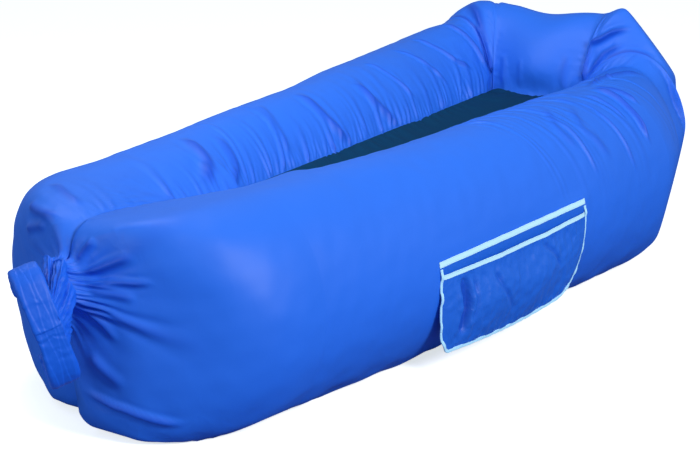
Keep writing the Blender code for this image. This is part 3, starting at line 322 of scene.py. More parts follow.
def make_piece(name, grid, closed, body, nodes, material, flip=False, crumple=None, across=None,
               fold=None):
    """A mesh of one grid, with metric texture coordinates, that stands for the CAD nodes."""
    rows, columns = grid.shape[:2]
    last = columns if closed else columns - 1
    r, c = np.meshgrid(np.arange(rows - 1), np.arange(last), indexing="ij")
    after = (c + 1) % columns
    here, beyond = r * columns, (r + 1) * columns
    quads = np.stack([here + c, here + after, beyond + after, beyond + c], axis=-1)
    if flip:
        quads = quads[..., ::-1]
    mesh = bpy.data.meshes.new(name)
    mesh.from_pydata((grid.reshape(-1, 3) + SHIFT).tolist(), [], quads.reshape(-1, 4).tolist())
    mean_along = run_lengths(grid, 0).mean(axis=1)
    if across is None:
        mean_around = run_lengths(grid, 1).mean(axis=0)
        step = mean_around[-1] / (columns - 1)
    else:
        mean_around, step = across, 0.0
    first_u = mean_around[c]
    u = np.stack([first_u, first_u + step, first_u + step, first_u], axis=-1)
    v = np.stack([mean_along[r], mean_along[r], mean_along[r + 1], mean_along[r + 1]], axis=-1)
    if flip:
        u, v = u[..., ::-1], v[..., ::-1]
    layer = mesh.uv_layers.new(name="metres")
    layer.data.foreach_set("uv", np.stack([u, v], axis=-1).astype(np.float32).ravel())
    # the fold attribute holds how much painted shade each point of a fold gets
    for word, values in (("crumple", crumple), ("fold", fold)):
        if values is not None:
            field = mesh.attributes.new(word, "FLOAT", "POINT")
            field.data.foreach_set("value", np.asarray(values, dtype=np.float32).ravel())
    mesh.shade_smooth()
    piece = bpy.data.objects.new(name, mesh)
    bpy.context.scene.collection.objects.link(piece)
    mesh.materials.append(material)
    if body:
        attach(piece, body)
    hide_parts(*nodes)
    area = sum(face.area for face in mesh.polygons)
    print(name, len(mesh.vertices), "points,", round(area, 4), "square metres")
    return piece


# %% shapes that every pucker and fold shares
PUCKER_LENGTHS = (0.45, 1.35)
PUCKER_SLOPE_SPREAD = 0.14
PUCKER_DEPTHS = (0.5, 1.25)
PUCKER_WIDTHS = (0.7, 1.3)
PUCKER_SPACINGS = (0.55, 1.45)
PUCKER_ONSET = 0.012
PUCKER_ONSET_SHARE = 0.35
PUCKER_WIDENING = 1.6
PUCKER_BEND = 0.6
PUCKER_FADE_POWER = 1.4
PUCKER_RIDGES = (0.42, 1.9, 0.85)
FOLD_RIDGES = (0.15, 2.0, 0.9)
FOLD_STEP = 0.008
FOLD_FADE_SHARE = 0.25
NOISE_WAVES = 24
NOISE_SIZES = (0.7, 1.5)
FLOOR_TOUCH = 0.0005


# %% puckers, folds and soft unevenness
def furrow(across, ridges):
    """Section of a furrow with a ridge on each side: the ridges' height, place and width."""
    height, place, width = ridges
    return height * np.exp(-((np.abs(across) - place) / width) ** 2) - np.exp(-across * across)


def pucker_starts(rng, start, end, spacing, length, slope, depth, width):
    """Puckers along a seam from start to end, each a little different from the next."""
    puckers = []
    place = start
    while place < end:
        puckers.append((place, length * rng.uniform(*PUCKER_LENGTHS),
                        slope + rng.normal(0.0, PUCKER_SLOPE_SPREAD),
                        depth * rng.uniform(*PUCKER_DEPTHS), width * rng.uniform(*PUCKER_WIDTHS)))
        place += spacing * rng.uniform(*PUCKER_SPACINGS)
    return puckers


def pucker_field(along, out, puckers, onset=PUCKER_ONSET):
    """Moves of a panel whose points lie along and out from a seam."""
    moves = np.zeros_like(along)
    for place, length, slope, depth, width in puckers:
        near = (out >= 0.0) & (out < length)
        t = out[near]
        centre = place + slope * t - PUCKER_BEND * slope * t * t / length
        across = (along[near] - centre) / (width * (1.0 + PUCKER_WIDENING * t / length))
        rise = PUCKER_ONSET_SHARE + (1.0 - PUCKER_ONSET_SHARE) * smooth_step(t / onset)
        fade = (1.0 - t / length) ** PUCKER_FADE_POWER * rise
        moves[near] += depth * fade * furrow(across, PUCKER_RIDGES)
    return moves


def laid_on(grid, path):
    """The path as close points that lie on the cloth."""
    path = np.array(path)
    run = lengths_along(path)
    wanted = np.linspace(0.0, run[-1], max(int(run[-1] / FOLD_STEP), 5))
    dense = points_at(wanted, run, path)
    flat = grid.reshape(-1, 3)
    laid = np.array([flat[np.argmin(np.sum((flat - point) ** 2, axis=1))] for point in dense])
    for _ in range(2):
        laid[1:-1] = (laid[:-2] + 2.0 * laid[1:-1] + laid[2:]) / 4.0
    return laid


def groove_field(grid, path, width, depth):
    """Moves for one fold that follows a path over the cloth; depth fades at the path's ends."""
    path = laid_on(grid, path)
    best = np.full(grid.shape[:2], 1e9)
    place = np.zeros(grid.shape[:2])
    lengths = np.linalg.norm(np.diff(path, axis=0), axis=1)
    starts = np.concatenate([[0.0], np.cumsum(lengths)])
    for first, second, length, start in zip(path, path[1:], lengths, starts):
        run = (second - first) / max(length, 1e-9)
        share = np.clip((grid - first) @ run, 0.0, length)
        away = np.linalg.norm(grid - first - share[..., None] * run, axis=2)
        closer = away < best
        best[closer] = away[closer]
        place[closer] = (start + share)[closer]
    end = starts[-1]
    reach = FOLD_FADE_SHARE * end
    fade = smooth_step(place / reach) * smooth_step((end - place) / reach)
    return depth * fade * furrow(best / width, FOLD_RIDGES)


def soft_noise(grid, rng, size):
    """Smooth unevenness of about unit height: a sum of plane waves near one wavelength."""
    total = np.zeros(grid.shape[:2])
    for _ in range(NOISE_WAVES):
        direction = rng.normal(size=3)
        direction *= 2.0 * pi / (size * rng.uniform(*NOISE_SIZES) * np.linalg.norm(direction))
        total += np.sin(grid @ direction + rng.uniform(0.0, 2.0 * pi))
    return total / sqrt(NOISE_WAVES / 2.0)


# %% the near corner's flat faces, and a grid with its moves
PEAK_FACET = ((1.860, -0.250, 0.596), (1.900, -0.400, 0.404), (2.000, -0.250, 0.505))
TIP_FACET = ((1.900, -0.418, 0.400), (1.860, -0.360, 0.060), (2.000, -0.309, 0.060))
FACET_SHARE = 0.93
FACET_ROUNDING = 0.010


def pulled_flat(points):
    """The near corner's cloth is pulled flat from its peak to its tip and from the tip down."""
    for facet in (PEAK_FACET, TIP_FACET):
        first, second, third = np.array(facet)
        normal = np.cross(second - first, third - first)
        normal /= -np.linalg.norm(normal) * np.sign(normal[1])
        beyond = (points - first) @ normal
        press = FACET_SHARE * (beyond + np.sqrt(beyond * beyond + FACET_ROUNDING ** 2)) / 2.0
        points = points - press[..., None] * normal
    return points


def dressed(grid, moves, outward, closed=True):
    moved = pulled_flat(grid + grid_normals(grid, outward, closed) * moves[..., None])
    on_floor = grid[..., 2] < FLOOR_TOUCH
    moved[..., 2] = np.where(on_floor, 0.0, np.maximum(moved[..., 2], 0.0))
    return moved


# %% [markdown]
# ## Materials
# The real bag is thin nylon taffeta with a soft shine, dyed bright blue. The shine, the fine weave and
# the small creases of thin cloth are built from shared node groups, which give only values, colours and
# normals. Painted shade darkens the cloth's colour in its folds and between its threads. The seat cloth is
# a darker, duller weave. The tapes are pale and ribbed, and the buckle is moulded plastic with a fine
# grain.

# %% helpers for node groups
def new_group(name, inputs, outputs):
    tree = bpy.data.node_groups.new(name, "ShaderNodeTree")
    for title, kind, value in inputs:
        made = tree.interface.new_socket(name=title, in_out="INPUT", socket_type=kind)
        if value is not None:
            made.default_value = value
    for title, kind in outputs:
        tree.interface.new_socket(name=title, in_out="OUTPUT", socket_type=kind)
    return tree, tree.nodes.new("NodeGroupInput"), tree.nodes.new("NodeGroupOutput")


def link(tree, value, socket):
    if isinstance(value, bpy.types.NodeSocket):
        tree.links.new(value, socket)
    elif value is not None:
        socket.default_value = value


def maths(tree, operation, first, second=None, third=None):
    node = tree.nodes.new("ShaderNodeMath")
    node.operation = operation
    for value, socket in zip((first, second, third), node.inputs):
        link(tree, value, socket)
    return node.outputs[0]


def noise(tree, vector, scale, detail=2.0, roughness=0.5):
    node = tree.nodes.new("ShaderNodeTexNoise")
    link(tree, vector, node.inputs["Vector"])
    link(tree, scale, node.inputs["Scale"])
    node.inputs["Detail"].default_value = detail
    node.inputs["Roughness"].default_value = roughness
    return node.outputs["Fac"]


def mix_colours(tree, factor, first, second, blend="MIX"):
    node = tree.nodes.new("ShaderNodeMix")
    node.data_type = "RGBA"
    node.blend_type = blend
    link(tree, factor, node.inputs["Factor"])
    link(tree, first, node.inputs["A"])
    link(tree, second, node.inputs["B"])
    return node.outputs["Result"]


def add_bump(tree, height, shader):
    bump = tree.nodes.new("ShaderNodeBump")
    bump.inputs["Distance"].default_value = 1.0
    tree.links.new(height, bump.inputs["Height"])
    tree.links.new(bump.outputs["Normal"], shader.inputs["Normal"])


def use_group(tree, group, **values):
    node = tree.nodes.new("ShaderNodeGroup")
    node.node_tree = group
    for title, value in values.items():
        link(tree, value, node.inputs[title])
    return node


# %% node group: plain weave
def make_weave_group():
    tree, source, sink = new_group(
        "plain_weave", [("Place", "NodeSocketVector", None), ("Pitch", "NodeSocketFloat", 0.0006)],
        [("Height", "NodeSocketFloat")])
    parts = tree.nodes.new("ShaderNodeSeparateXYZ")
    tree.links.new(source.outputs["Place"], parts.inputs[0])
    turns = [maths(tree, "MULTIPLY", maths(tree, "DIVIDE", parts.outputs[axis], source.outputs["Pitch"]), pi)
             for axis in (0, 1)]
    over = maths(tree, "MULTIPLY", maths(tree, "SINE", turns[0]), maths(tree, "SINE", turns[1]))
    tree.links.new(maths(tree, "MULTIPLY_ADD", over, 0.5, 0.5), sink.inputs["Height"])
    return tree


# %% node group: the small creases of thin cloth
def make_crumple_group():
    tree, source, sink = new_group(
        "crumple", [("Place", "NodeSocketVector", None), ("Scale", "NodeSocketFloat", 14.0)],
        [("Height", "NodeSocketFloat")])
    warp = tree.nodes.new("ShaderNodeTexNoise")
    tree.links.new(source.outputs["Place"], warp.inputs["Vector"])
    tree.links.new(source.outputs["Scale"], warp.inputs["Scale"])
    bend = tree.nodes.new("ShaderNodeVectorMath")
    bend.operation = "MULTIPLY_ADD"
    tree.links.new(warp.outputs["Color"], bend.inputs[0])
    bend.inputs[1].default_value = (0.05, 0.05, 0.05)
    tree.links.new(source.outputs["Place"], bend.inputs[2])
    heights = []
    for ratio in (1.0, 2.3):
        field = noise(tree, bend.outputs[0], maths(tree, "MULTIPLY", source.outputs["Scale"], ratio), 1.0)
        ridge = maths(tree, "ABSOLUTE", maths(tree, "MULTIPLY_ADD", field, 2.0, -1.0))
        heights.append(maths(tree, "POWER", maths(tree, "SUBTRACT", 1.0, ridge), 3.0))
    total = maths(tree, "MULTIPLY_ADD", heights[1], 0.4, heights[0])
    tree.links.new(total, sink.inputs["Height"])
    return tree


# %% node group: tone that drifts over the cloth
def make_tone_group():
    tree, source, sink = new_group(
        "tone_drift", [("Colour", "NodeSocketColor", (1.0, 1.0, 1.0, 1.0)),
                       ("Place", "NodeSocketVector", None), ("Scale", "NodeSocketFloat", 4.0),
                       ("Amount", "NodeSocketFloat", 0.06)],
        [("Colour", "NodeSocketColor")])
    field = noise(tree, source.outputs["Place"], source.outputs["Scale"], 3.0)
    shift = maths(tree, "MULTIPLY", maths(tree, "MULTIPLY_ADD", field, 2.0, -1.0), source.outputs["Amount"])
    tint = tree.nodes.new("ShaderNodeHueSaturation")
    tree.links.new(source.outputs["Colour"], tint.inputs["Color"])
    tree.links.new(maths(tree, "ADD", shift, 1.0), tint.inputs["Value"])
    tree.links.new(tint.outputs["Color"], sink.inputs["Colour"])
    return tree


# %% node group: a row of stitches
def make_stitch_group():
    tree, source, sink = new_group(
        "stitch_row", [("Along", "NodeSocketFloat", 0.0), ("Off", "NodeSocketFloat", 1.0),
                       ("Pitch", "NodeSocketFloat", 0.004), ("Width", "NodeSocketFloat", 0.0008)],
        [("Mask", "NodeSocketFloat")])
    step = maths(tree, "FRACT", maths(tree, "DIVIDE", source.outputs["Along"], source.outputs["Pitch"]))
    from_middle = maths(tree, "ABSOLUTE", maths(tree, "SUBTRACT", step, 0.5))
    on_thread = maths(tree, "LESS_THAN", from_middle, 0.34)
    off = maths(tree, "ABSOLUTE", source.outputs["Off"])
    on_row = maths(tree, "LESS_THAN", off, maths(tree, "MULTIPLY", source.outputs["Width"], 0.5))
    tree.links.new(maths(tree, "MULTIPLY", on_thread, on_row), sink.inputs["Mask"])
    return tree


WEAVE = make_weave_group()
CRUMPLE = make_crumple_group()
TONE = make_tone_group()
STITCH = make_stitch_group()


# %% cloth and plastic materials
STITCH_HEIGHT = 0.0004
# painted shade between the threads of the weave: its share and its colour
WEAVE_SHADE = 0.10
PAINTED_SHADE_BETWEEN_THREADS = (0.3, 0.3, 0.35, 1.0)
# painted shade in the folds: its share, and the dark blue that the colour is multiplied towards
FOLD_SHADE = 0.60
PAINTED_FOLD_SHADE = (0.10, 0.28, 0.62, 1.0)
WORN_EDGE = (0.3, 0.4, 0.6, 1.0)
WORN_SHARE = 0.25


def start_material(name, colour, roughness):
    material = bpy.data.materials.new(name)
    material.use_nodes = True
    shader = material.node_tree.nodes["Principled BSDF"]
    shader.inputs["Base Color"].default_value = (*colour, 1.0)
    shader.inputs["Roughness"].default_value = roughness
    return material, material.node_tree, shader


def cloth_material(name, colour, roughness, weave, crumple, drift, sheen=0.0, shine=0.35, stitch_rows=(),
                   thread=None):
    """Cloth: weave (pitch, height), crumple (scale, height) and rows of stitches at distances in metres."""
    material, tree, shader = start_material(name, colour, roughness)
    place = tree.nodes.new("ShaderNodeTexCoord").outputs["Object"]
    flat = tree.nodes.new("ShaderNodeUVMap")
    flat.uv_map = "metres"
    drifted = use_group(tree, TONE, Colour=(*colour, 1.0), Place=place, Scale=3.0, Amount=drift)
    tone = drifted.outputs["Colour"]
    threads = use_group(tree, WEAVE, Place=flat.outputs[0], Pitch=weave[0]).outputs["Height"]
    creases = use_group(tree, CRUMPLE, Place=place, Scale=crumple[0]).outputs["Height"]
    more = tree.nodes.new("ShaderNodeAttribute")
    more.attribute_name = "crumple"
    creases = maths(tree, "MULTIPLY", creases, more.outputs["Fac"])
    height = maths(tree, "MULTIPLY", creases, crumple[1])
    height = maths(tree, "MULTIPLY_ADD", threads, weave[1], height)
    parts = tree.nodes.new("ShaderNodeSeparateXYZ")
    tree.links.new(flat.outputs[0], parts.inputs[0])
    for row in stitch_rows:
        off = maths(tree, "SUBTRACT", parts.outputs[0], row)
        mask = use_group(tree, STITCH, Along=parts.outputs[1], Off=off).outputs["Mask"]
        tone = mix_colours(tree, mask, tone, (*thread, 1.0))
        height = maths(tree, "MULTIPLY_ADD", mask, STITCH_HEIGHT, height)
    # painted shade: the colour darkens between the threads, where the weave dips
    between = maths(tree, "MULTIPLY_ADD", threads, -WEAVE_SHADE, WEAVE_SHADE)
    tone = mix_colours(tree, between, tone, PAINTED_SHADE_BETWEEN_THREADS, "MULTIPLY")
    # painted shade: the fold attribute darkens the base colour in the folds
    folded = tree.nodes.new("ShaderNodeAttribute")
    folded.attribute_name = "fold"
    depth = maths(tree, "MULTIPLY", folded.outputs["Fac"], FOLD_SHADE)
    tone = mix_colours(tree, depth, tone, PAINTED_FOLD_SHADE, "MULTIPLY")
    tree.links.new(tone, shader.inputs["Base Color"])
    add_bump(tree, height, shader)
    tree.links.new(maths(tree, "MULTIPLY_ADD", threads, 0.08, roughness), shader.inputs["Roughness"])
    shader.inputs["Specular IOR Level"].default_value = shine
    shader.inputs["Sheen Weight"].default_value = sheen
    shader.inputs["Sheen Roughness"].default_value = 0.35
    return material


def plastic_material(name, colour, roughness, grain):
    material, tree, shader = start_material(name, colour, roughness)
    place = tree.nodes.new("ShaderNodeTexCoord").outputs["Object"]
    drifted = use_group(tree, TONE, Colour=(*colour, 1.0), Place=place, Scale=60.0, Amount=0.05)
    fine = noise(tree, place, 2200.0, 2.0)
    edge = tree.nodes.new("ShaderNodeNewGeometry").outputs["Pointiness"]
    sharp = maths(tree, "MAXIMUM", maths(tree, "MULTIPLY_ADD", edge, 6.0, -3.1), 0.0)
    worn = maths(tree, "MINIMUM", sharp, WORN_SHARE)
    tone = mix_colours(tree, worn, drifted.outputs["Colour"], WORN_EDGE)
    tree.links.new(tone, shader.inputs["Base Color"])
    tree.links.new(maths(tree, "MULTIPLY_ADD", fine, 0.15, roughness - 0.07), shader.inputs["Roughness"])
    add_bump(tree, maths(tree, "MULTIPLY", fine, grain), shader)
    return material


# %% the materials: colours, weaves (pitch, height) and creases (scale, height)
FINE_WEAVE = (0.0006, 0.00002)
RIBBED_WEAVE = (0.0011, 0.00012)
NYLON = cloth_material("nylon", (0.017, 0.148, 0.770), 0.50, FINE_WEAVE, (13.0, 0.0010), 0.05)
ROLLED = cloth_material("rolled_nylon", (0.005, 0.115, 0.72), 0.48, FINE_WEAVE, (22.0, 0.0009), 0.08,
                        sheen=0.04)
SEAT_CLOTH = cloth_material("seat_cloth", (0.0005, 0.036, 0.100), 0.85, (0.0009, 0.00005),
                            (18.0, 0.0006), 0.10, shine=0.12)
POCKET_CLOTH = cloth_material("pocket_cloth", (0.009, 0.122, 0.640), 0.46, FINE_WEAVE, (30.0, 0.0006),
                              0.08, sheen=0.04)
TAPE = cloth_material("tape", (0.56, 0.88, 1.00), 0.62, RIBBED_WEAVE, (60.0, 0.0003), 0.05, sheen=0.05,
                      stitch_rows=(0.002, 0.0105), thread=(0.30, 0.60, 0.92))
BINDING = cloth_material("binding", (0.46, 0.80, 1.00), 0.62, RIBBED_WEAVE, (60.0, 0.0004), 0.08,
                         sheen=0.05)
WEBBING = cloth_material("webbing", (0.008, 0.075, 0.480), 0.7, (0.0018, 0.00025), (60.0, 0.0001), 0.06,
                         stitch_rows=(0.003, 0.022), thread=(0.02, 0.15, 0.65))
BUCKLE = plastic_material("buckle_plastic", (0.008, 0.050, 0.300), 0.38, 0.00002)
STRIP = plastic_material("stiff_strip", (0.035, 0.040, 0.055), 0.5, 0.00003)
print("materials made")

# %% [markdown]
# ## The side tubes
# Each tube is one long blown-up panel. Where it is sewn to the seat cloth and to the other tube, its edge
# is longer than the seam, so it gathers into puckers that run out over the tube. Long diagonal wrinkles
# cross the far tube, which carries the pull of the seat. At the foot all the cloth is drawn together into
# the mouth, so deep folds run out from it.

# %% folds that the photograph shows, as paths over the cloth: x, y, z, then width and depth
FAR_FOLDS = [
    ([(0.42, 0.01, 0.415), (0.49, 0.08, 0.425), (0.532, 0.19, 0.455)], 0.014, 0.008),
    ([(0.56, 0.02, 0.390), (0.60, 0.08, 0.405), (0.616, 0.17, 0.448)], 0.012, 0.006),
    ([(0.80, 0.10, 0.375), (0.815, 0.16, 0.445), (0.85, 0.24, 0.465)], 0.010, 0.004),
    ([(1.034, 0.085, 0.355), (0.991, 0.139, 0.428), (0.993, 0.237, 0.477)], 0.013, 0.007),
    ([(1.256, 0.110, 0.363), (1.214, 0.146, 0.430), (1.196, 0.212, 0.479)], 0.013, 0.007),
    ([(1.625, 0.314, 0.519), (1.628, 0.241, 0.509), (1.657, 0.185, 0.471), (1.717, 0.156, 0.432)],
     0.006, 0.006),
    ([(1.490, 0.290, 0.512), (1.513, 0.219, 0.493), (1.551, 0.171, 0.452), (1.569, 0.143, 0.411)],
     0.006, 0.005),
    ([(1.341, 0.279, 0.501), (1.347, 0.205, 0.481), (1.370, 0.158, 0.440), (1.382, 0.132, 0.402)],
     0.006, 0.005),
    ([(1.762, 0.300, 0.545), (1.766, 0.232, 0.522), (1.772, 0.171, 0.461), (1.780, 0.147, 0.417)],
     0.006, 0.007),
    ([(0.020, 0.040, 0.415), (0.019, 0.080, 0.417), (0.049, 0.148, 0.420)], 0.009, 0.007),
    ([(0.018, 0.059, 0.400), (0.024, 0.100, 0.392), (0.035, 0.142, 0.375)], 0.008, 0.006),
    ([(0.070, 0.030, 0.432), (0.080, 0.080, 0.440), (0.110, 0.150, 0.446)], 0.010, 0.005),
]
NEAR_FOLDS = [
    ([(0.002, -0.020, 0.103), (0.012, -0.088, 0.082), (0.027, -0.133, 0.069), (0.048, -0.177, 0.058),
      (0.076, -0.210, 0.052)], 0.0065, 0.008),
    ([(0.001, -0.039, 0.177), (0.008, -0.076, 0.143), (0.019, -0.114, 0.124)], 0.010, 0.006),
    ([(-0.010, -0.020, 0.345), (0.000, -0.035, 0.368), (0.012, -0.055, 0.395)], 0.008, 0.008),
    ([(-0.012, -0.040, 0.325), (0.006, -0.085, 0.350), (0.030, -0.135, 0.368)], 0.008, 0.007),
    ([(-0.012, -0.045, 0.300), (0.006, -0.085, 0.297), (0.030, -0.140, 0.290)], 0.008, 0.006),
    ([(-0.012, -0.040, 0.280), (0.002, -0.070, 0.245), (0.012, -0.105, 0.205)], 0.007, 0.004),
    ([(-0.012, -0.042, 0.310), (0.008, -0.110, 0.318), (0.040, -0.170, 0.322)], 0.006, 0.006),
    ([(1.513, -0.286, 0.461), (1.529, -0.317, 0.460), (1.525, -0.360, 0.447), (1.519, -0.405, 0.420),
      (1.516, -0.442, 0.380), (1.514, -0.466, 0.338)], 0.0065, 0.011),
    ([(1.528, -0.284, 0.462), (1.560, -0.343, 0.455), (1.575, -0.408, 0.419)], 0.006, 0.008),
    ([(1.470, -0.300, 0.461), (1.468, -0.360, 0.447), (1.475, -0.420, 0.405)], 0.005, 0.006),
    ([(1.209, -0.296, 0.447), (1.245, -0.367, 0.421), (1.251, -0.425, 0.362), (1.257, -0.455, 0.301)],
     0.005, 0.004),
    ([(1.400, -0.297, 0.451), (1.405, -0.379, 0.418), (1.412, -0.437, 0.355), (1.420, -0.468, 0.285)],
     0.005, 0.004),
    ([(1.343, -0.320, 0.450), (1.288, -0.384, 0.413), (1.331, -0.449, 0.336)], 0.011, 0.0035),
    ([(1.275, -0.284, 0.452), (1.207, -0.363, 0.420), (1.229, -0.415, 0.375)], 0.010, 0.0030),
]
SWELLINGS = [((1.900, -0.385, 0.390), 0.060, 0.034)]
HOOD_FOLD = ([(1.528, -0.279, 0.461), (1.638, -0.272, 0.464), (1.705, -0.293, 0.470),
              (1.779, -0.325, 0.459)], 0.007, 0.010)
NEAR_CORNER_FOLDS = [
    HOOD_FOLD,
    ([(1.786, -0.110, 0.395), (1.798, -0.125, 0.465), (1.819, -0.150, 0.520), (1.825, -0.204, 0.559),
      (1.851, -0.258, 0.574)], 0.008, 0.012),
    ([(1.790, -0.140, 0.420), (1.812, -0.190, 0.500), (1.835, -0.245, 0.530)], 0.009, 0.007),
]
FAR_CORNER_FOLDS = [
    ([(1.788, 0.140, 0.400), (1.800, 0.183, 0.482), (1.815, 0.250, 0.560), (1.830, 0.330, 0.565)],
     0.008, 0.009),
    ([(1.788, 0.135, 0.400), (1.812, 0.175, 0.500), (1.840, 0.214, 0.575), (1.880, 0.270, 0.585)],
     0.012, 0.009),
    ([(1.790, 0.150, 0.400), (1.797, 0.230, 0.490), (1.800, 0.320, 0.530)], 0.008, 0.006),
]
HEAD_FOLDS = [
    ([(1.776, 0.104, 0.385), (1.765, 0.104, 0.420), (1.797, 0.110, 0.480)], 0.010, 0.0025),
    ([(1.770, 0.050, 0.385), (1.750, 0.050, 0.420), (1.775, 0.048, 0.480)], 0.008, 0.0020),
    ([(1.776, -0.090, 0.385), (1.762, -0.085, 0.430), (1.790, -0.090, 0.500)], 0.009, 0.0030),
]


# %% sizes and puckers of the tubes: start, end, spacing, length, slope, depth and width
FOOT_ROWS, TUBE_ROWS, TURN_ROWS = 110, 740, 26
TURN_STARTS_AT = 1.2
FOLD_MARGIN = 0.03
FOLD_DARK_DEPTH = 0.007
FINE_PUCKERS = (0.05, 1.74, 0.013, 0.060, 0.20, 0.0013, 0.0032)
TUBE_PUCKERS = {
    "near": [FINE_PUCKERS, (0.10, 1.74, 0.030, 0.14, 0.32, 0.0013, 0.0038),
             (0.20, 1.70, 0.080, 0.16, 0.36, 0.0014, 0.0050)],
    "far": [FINE_PUCKERS, (0.10, 1.74, 0.030, 0.14, 0.32, 0.0028, 0.0038),
            (0.20, 1.70, 0.080, 0.30, 0.36, 0.0036, 0.0050)],
}
SIDE_WRINKLES = (0.98, 1.62, 0.021, 0.40, 0.50, 0.0036, 0.0032)
SIDE_WRINKLES_FROM = 0.06
GATHER_SPAN = 0.5
GATHERS = [(0.0, GATHER_SPAN, 0.026, 0.11, 0.0, 0.0050, 0.0045),
           (0.0, GATHER_SPAN, 0.062, 0.25, 0.0, 0.0075, 0.0065)]
GATHER_ONSET = 0.03
GATHERS_END_AT = 0.32
FAR_GATHER_SHARE = 0.55
TUBE_END_PUCKERS = (0.25, 1.45, 0.030, 0.07, 0.0, 0.0014, 0.0050)
CREASED_UP_TO = 0.12
LOW_CREASES = (0.0010, 0.07)
TUBE_NOISES = ((0.0016, 0.28), (0.0004, 0.06))
POCKET_PRESS = 0.0012
SEWN_SPAN = 0.014
TUCK_DEPTH = 0.0030
TUCK_WIDTH = 0.0045


# %% the tubes' grids
def tube_grid(side):
    rings = [foot_ring(sin(turn), side) for turn in np.linspace(0.0, pi / 2.0, FOOT_ROWS)]
    rings += [straight_ring(x, side) for x in np.linspace(FOOT_ROUNDING, PINCH_X, TUBE_ROWS)[1:]]
    rings += [elbow_ring(degrees, side)
              for degrees in np.linspace(TURN_STARTS_AT, CREASE_ANGLES[0], TURN_ROWS)]
    return np.array(rings)


def fold_moves(grid, folds):
    """All the folds of a panel."""
    moves = np.zeros(grid.shape[:2])
    for path, width, depth in folds:
        low = np.min(path, axis=0) - 4.0 * width - FOLD_MARGIN
        high = np.max(path, axis=0) + 4.0 * width + FOLD_MARGIN
        rows = np.any(np.all((grid > low) & (grid < high), axis=2), axis=1)
        moves[rows] += groove_field(grid[rows], path, width, depth)
    return moves


def swellings(grid):
    """The broad swelling at the near corner's tip, where it reaches the panel."""
    moves = np.zeros(grid.shape[:2])
    for centre, radius, amount in SWELLINGS:
        moves += amount * np.exp(-np.sum((grid - np.array(centre)) ** 2, axis=2) / radius ** 2)
    return moves


def shade_of(folds):
    """How much painted shade the folds get, 0 to 1: the colour is darkened where the cloth dips into a fold.
    """
    return np.clip(-folds / FOLD_DARK_DEPTH, 0.0, 1.0)


def under_pocket(grid):
    """How far the cloth is held flat behind the pocket: 1 there and 0 elsewhere."""
    x, y, z = grid[..., 0], grid[..., 1], grid[..., 2]
    inside = smooth_step((x - 0.58) / 0.05) * smooth_step((1.225 - x) / 0.05)
    return inside * smooth_step((0.30 - z) / 0.03) * smooth_step((z - 0.02) / 0.04) * (y < -0.2)


def sewn(moves, out):
    """Moves that fade to one small tuck at a sewn end, so that the two panels still meet there."""
    return moves * smooth_step(out / SEWN_SPAN) - TUCK_DEPTH * np.exp(-(out / TUCK_WIDTH) ** 2)


def mouth_gathers(rng, far):
    """Puckers that run out from the mouth, shallower on the far tube and under the seam."""
    gathers = []
    for settings in GATHERS:
        gathers += pucker_starts(rng, *settings)
    softer = FAR_GATHER_SHARE if far else 1.0
    return [(at, length, slope,
             depth * softer * (0.25 + 0.75 * smooth_step((at / GATHER_SPAN - 0.22) / 0.2)), width)
            for at, length, slope, depth, width in gathers]


def make_tube(word, side, rng):
    grid = tube_grid(side)
    far = side > 0.0
    around = run_lengths(grid, 1)
    columns = np.arange(AROUND)[None, :]
    up_from_seam = above_seam(around)
    along, height = grid[..., 0], grid[..., 2]
    puckers = []
    for settings in TUBE_PUCKERS[word]:
        puckers += pucker_starts(rng, *settings)
    if not far:
        wrinkles = pucker_starts(rng, *SIDE_WRINKLES)
    moves = pucker_field(along, up_from_seam, puckers)
    if not far:
        moves += pucker_field(along, up_from_seam - SIDE_WRINKLES_FROM, wrinkles, 0.06)
    from_mouth = run_lengths(grid, 0)
    share_round = around / around[:, SEAM_COLUMN:SEAM_COLUMN + 1]
    place = np.where(columns <= SEAM_COLUMN, share_round * GATHER_SPAN, -1.0)
    near_mouth = np.where(along < GATHERS_END_AT, from_mouth, -1.0)
    moves += pucker_field(place, near_mouth, mouth_gathers(rng, far), GATHER_ONSET)
    to_end = run_lengths(grid[::-1], 0)[::-1]
    moves += pucker_field(around, to_end, pucker_starts(rng, *TUBE_END_PUCKERS))
    moves += fold_moves(grid, FAR_FOLDS if far else NEAR_FOLDS + [HOOD_FOLD])
    held = 0.0 if far else under_pocket(grid)
    # painted shade in the folds, none where the pocket holds the cloth flat
    shade = shade_of(moves) * (1.0 - held)
    moves += swellings(grid)
    low = smooth_step((CREASED_UP_TO - height) / 0.10) * (columns < OUTER_COLUMNS)
    moves += LOW_CREASES[0] * low * soft_noise(grid, rng, LOW_CREASES[1])
    moves += sum(depth * soft_noise(grid, rng, size) for depth, size in TUBE_NOISES)
    moves = sewn(moves, to_end) * (1.0 - held) - POCKET_PRESS * held
    skin = dressed(grid, moves, side)
    creased = near_seam(up_from_seam, 0.10) + np.exp(-from_mouth / 0.10) + np.exp(-to_end / 0.06)
    crumple = 0.10 + 0.9 * np.clip(creased + 0.6 * low, 0.0, 1.0)
    piece = make_piece(word + "_skin", skin, True, "inflated_body", [word + "_tube"], NYLON,
                       flip=side < 0.0, crumple=crumple, fold=shade)


make_tube("near", -1.0, np.random.default_rng(3))
make_tube("far", 1.0, np.random.default_rng(11))

# %% [markdown]
# ## The corners and the headrest
# At the head end each tube turns up and across into the headrest. On the real bag the skin folds where it
# turns, and two seams draw it in, so the corner stands up like an ear between two creases. The headrest is
# a short blown-up pillow that pushes forward over the seat.

# %% corners and headrest
CORNER_ROWS = 110
HEAD_TURN_ROWS, HEAD_ROWS = 40, 46
HEAD_NOISE, HEAD_NOISE_SIZE = 0.0014, 0.2
END_PUCKERS_FROM, END_PUCKERS_TO = 0.20, 1.55
CORNER_PUCKERS = (0.030, 0.08, 0.0011, 0.0042)
HEAD_PUCKERS = (0.030, 0.07, 0.0009, 0.0040)
HEAD_SEAM_PUCKERS = (-0.13, 0.13, 0.013, 0.07, 0.0, 0.0008, 0.0030)


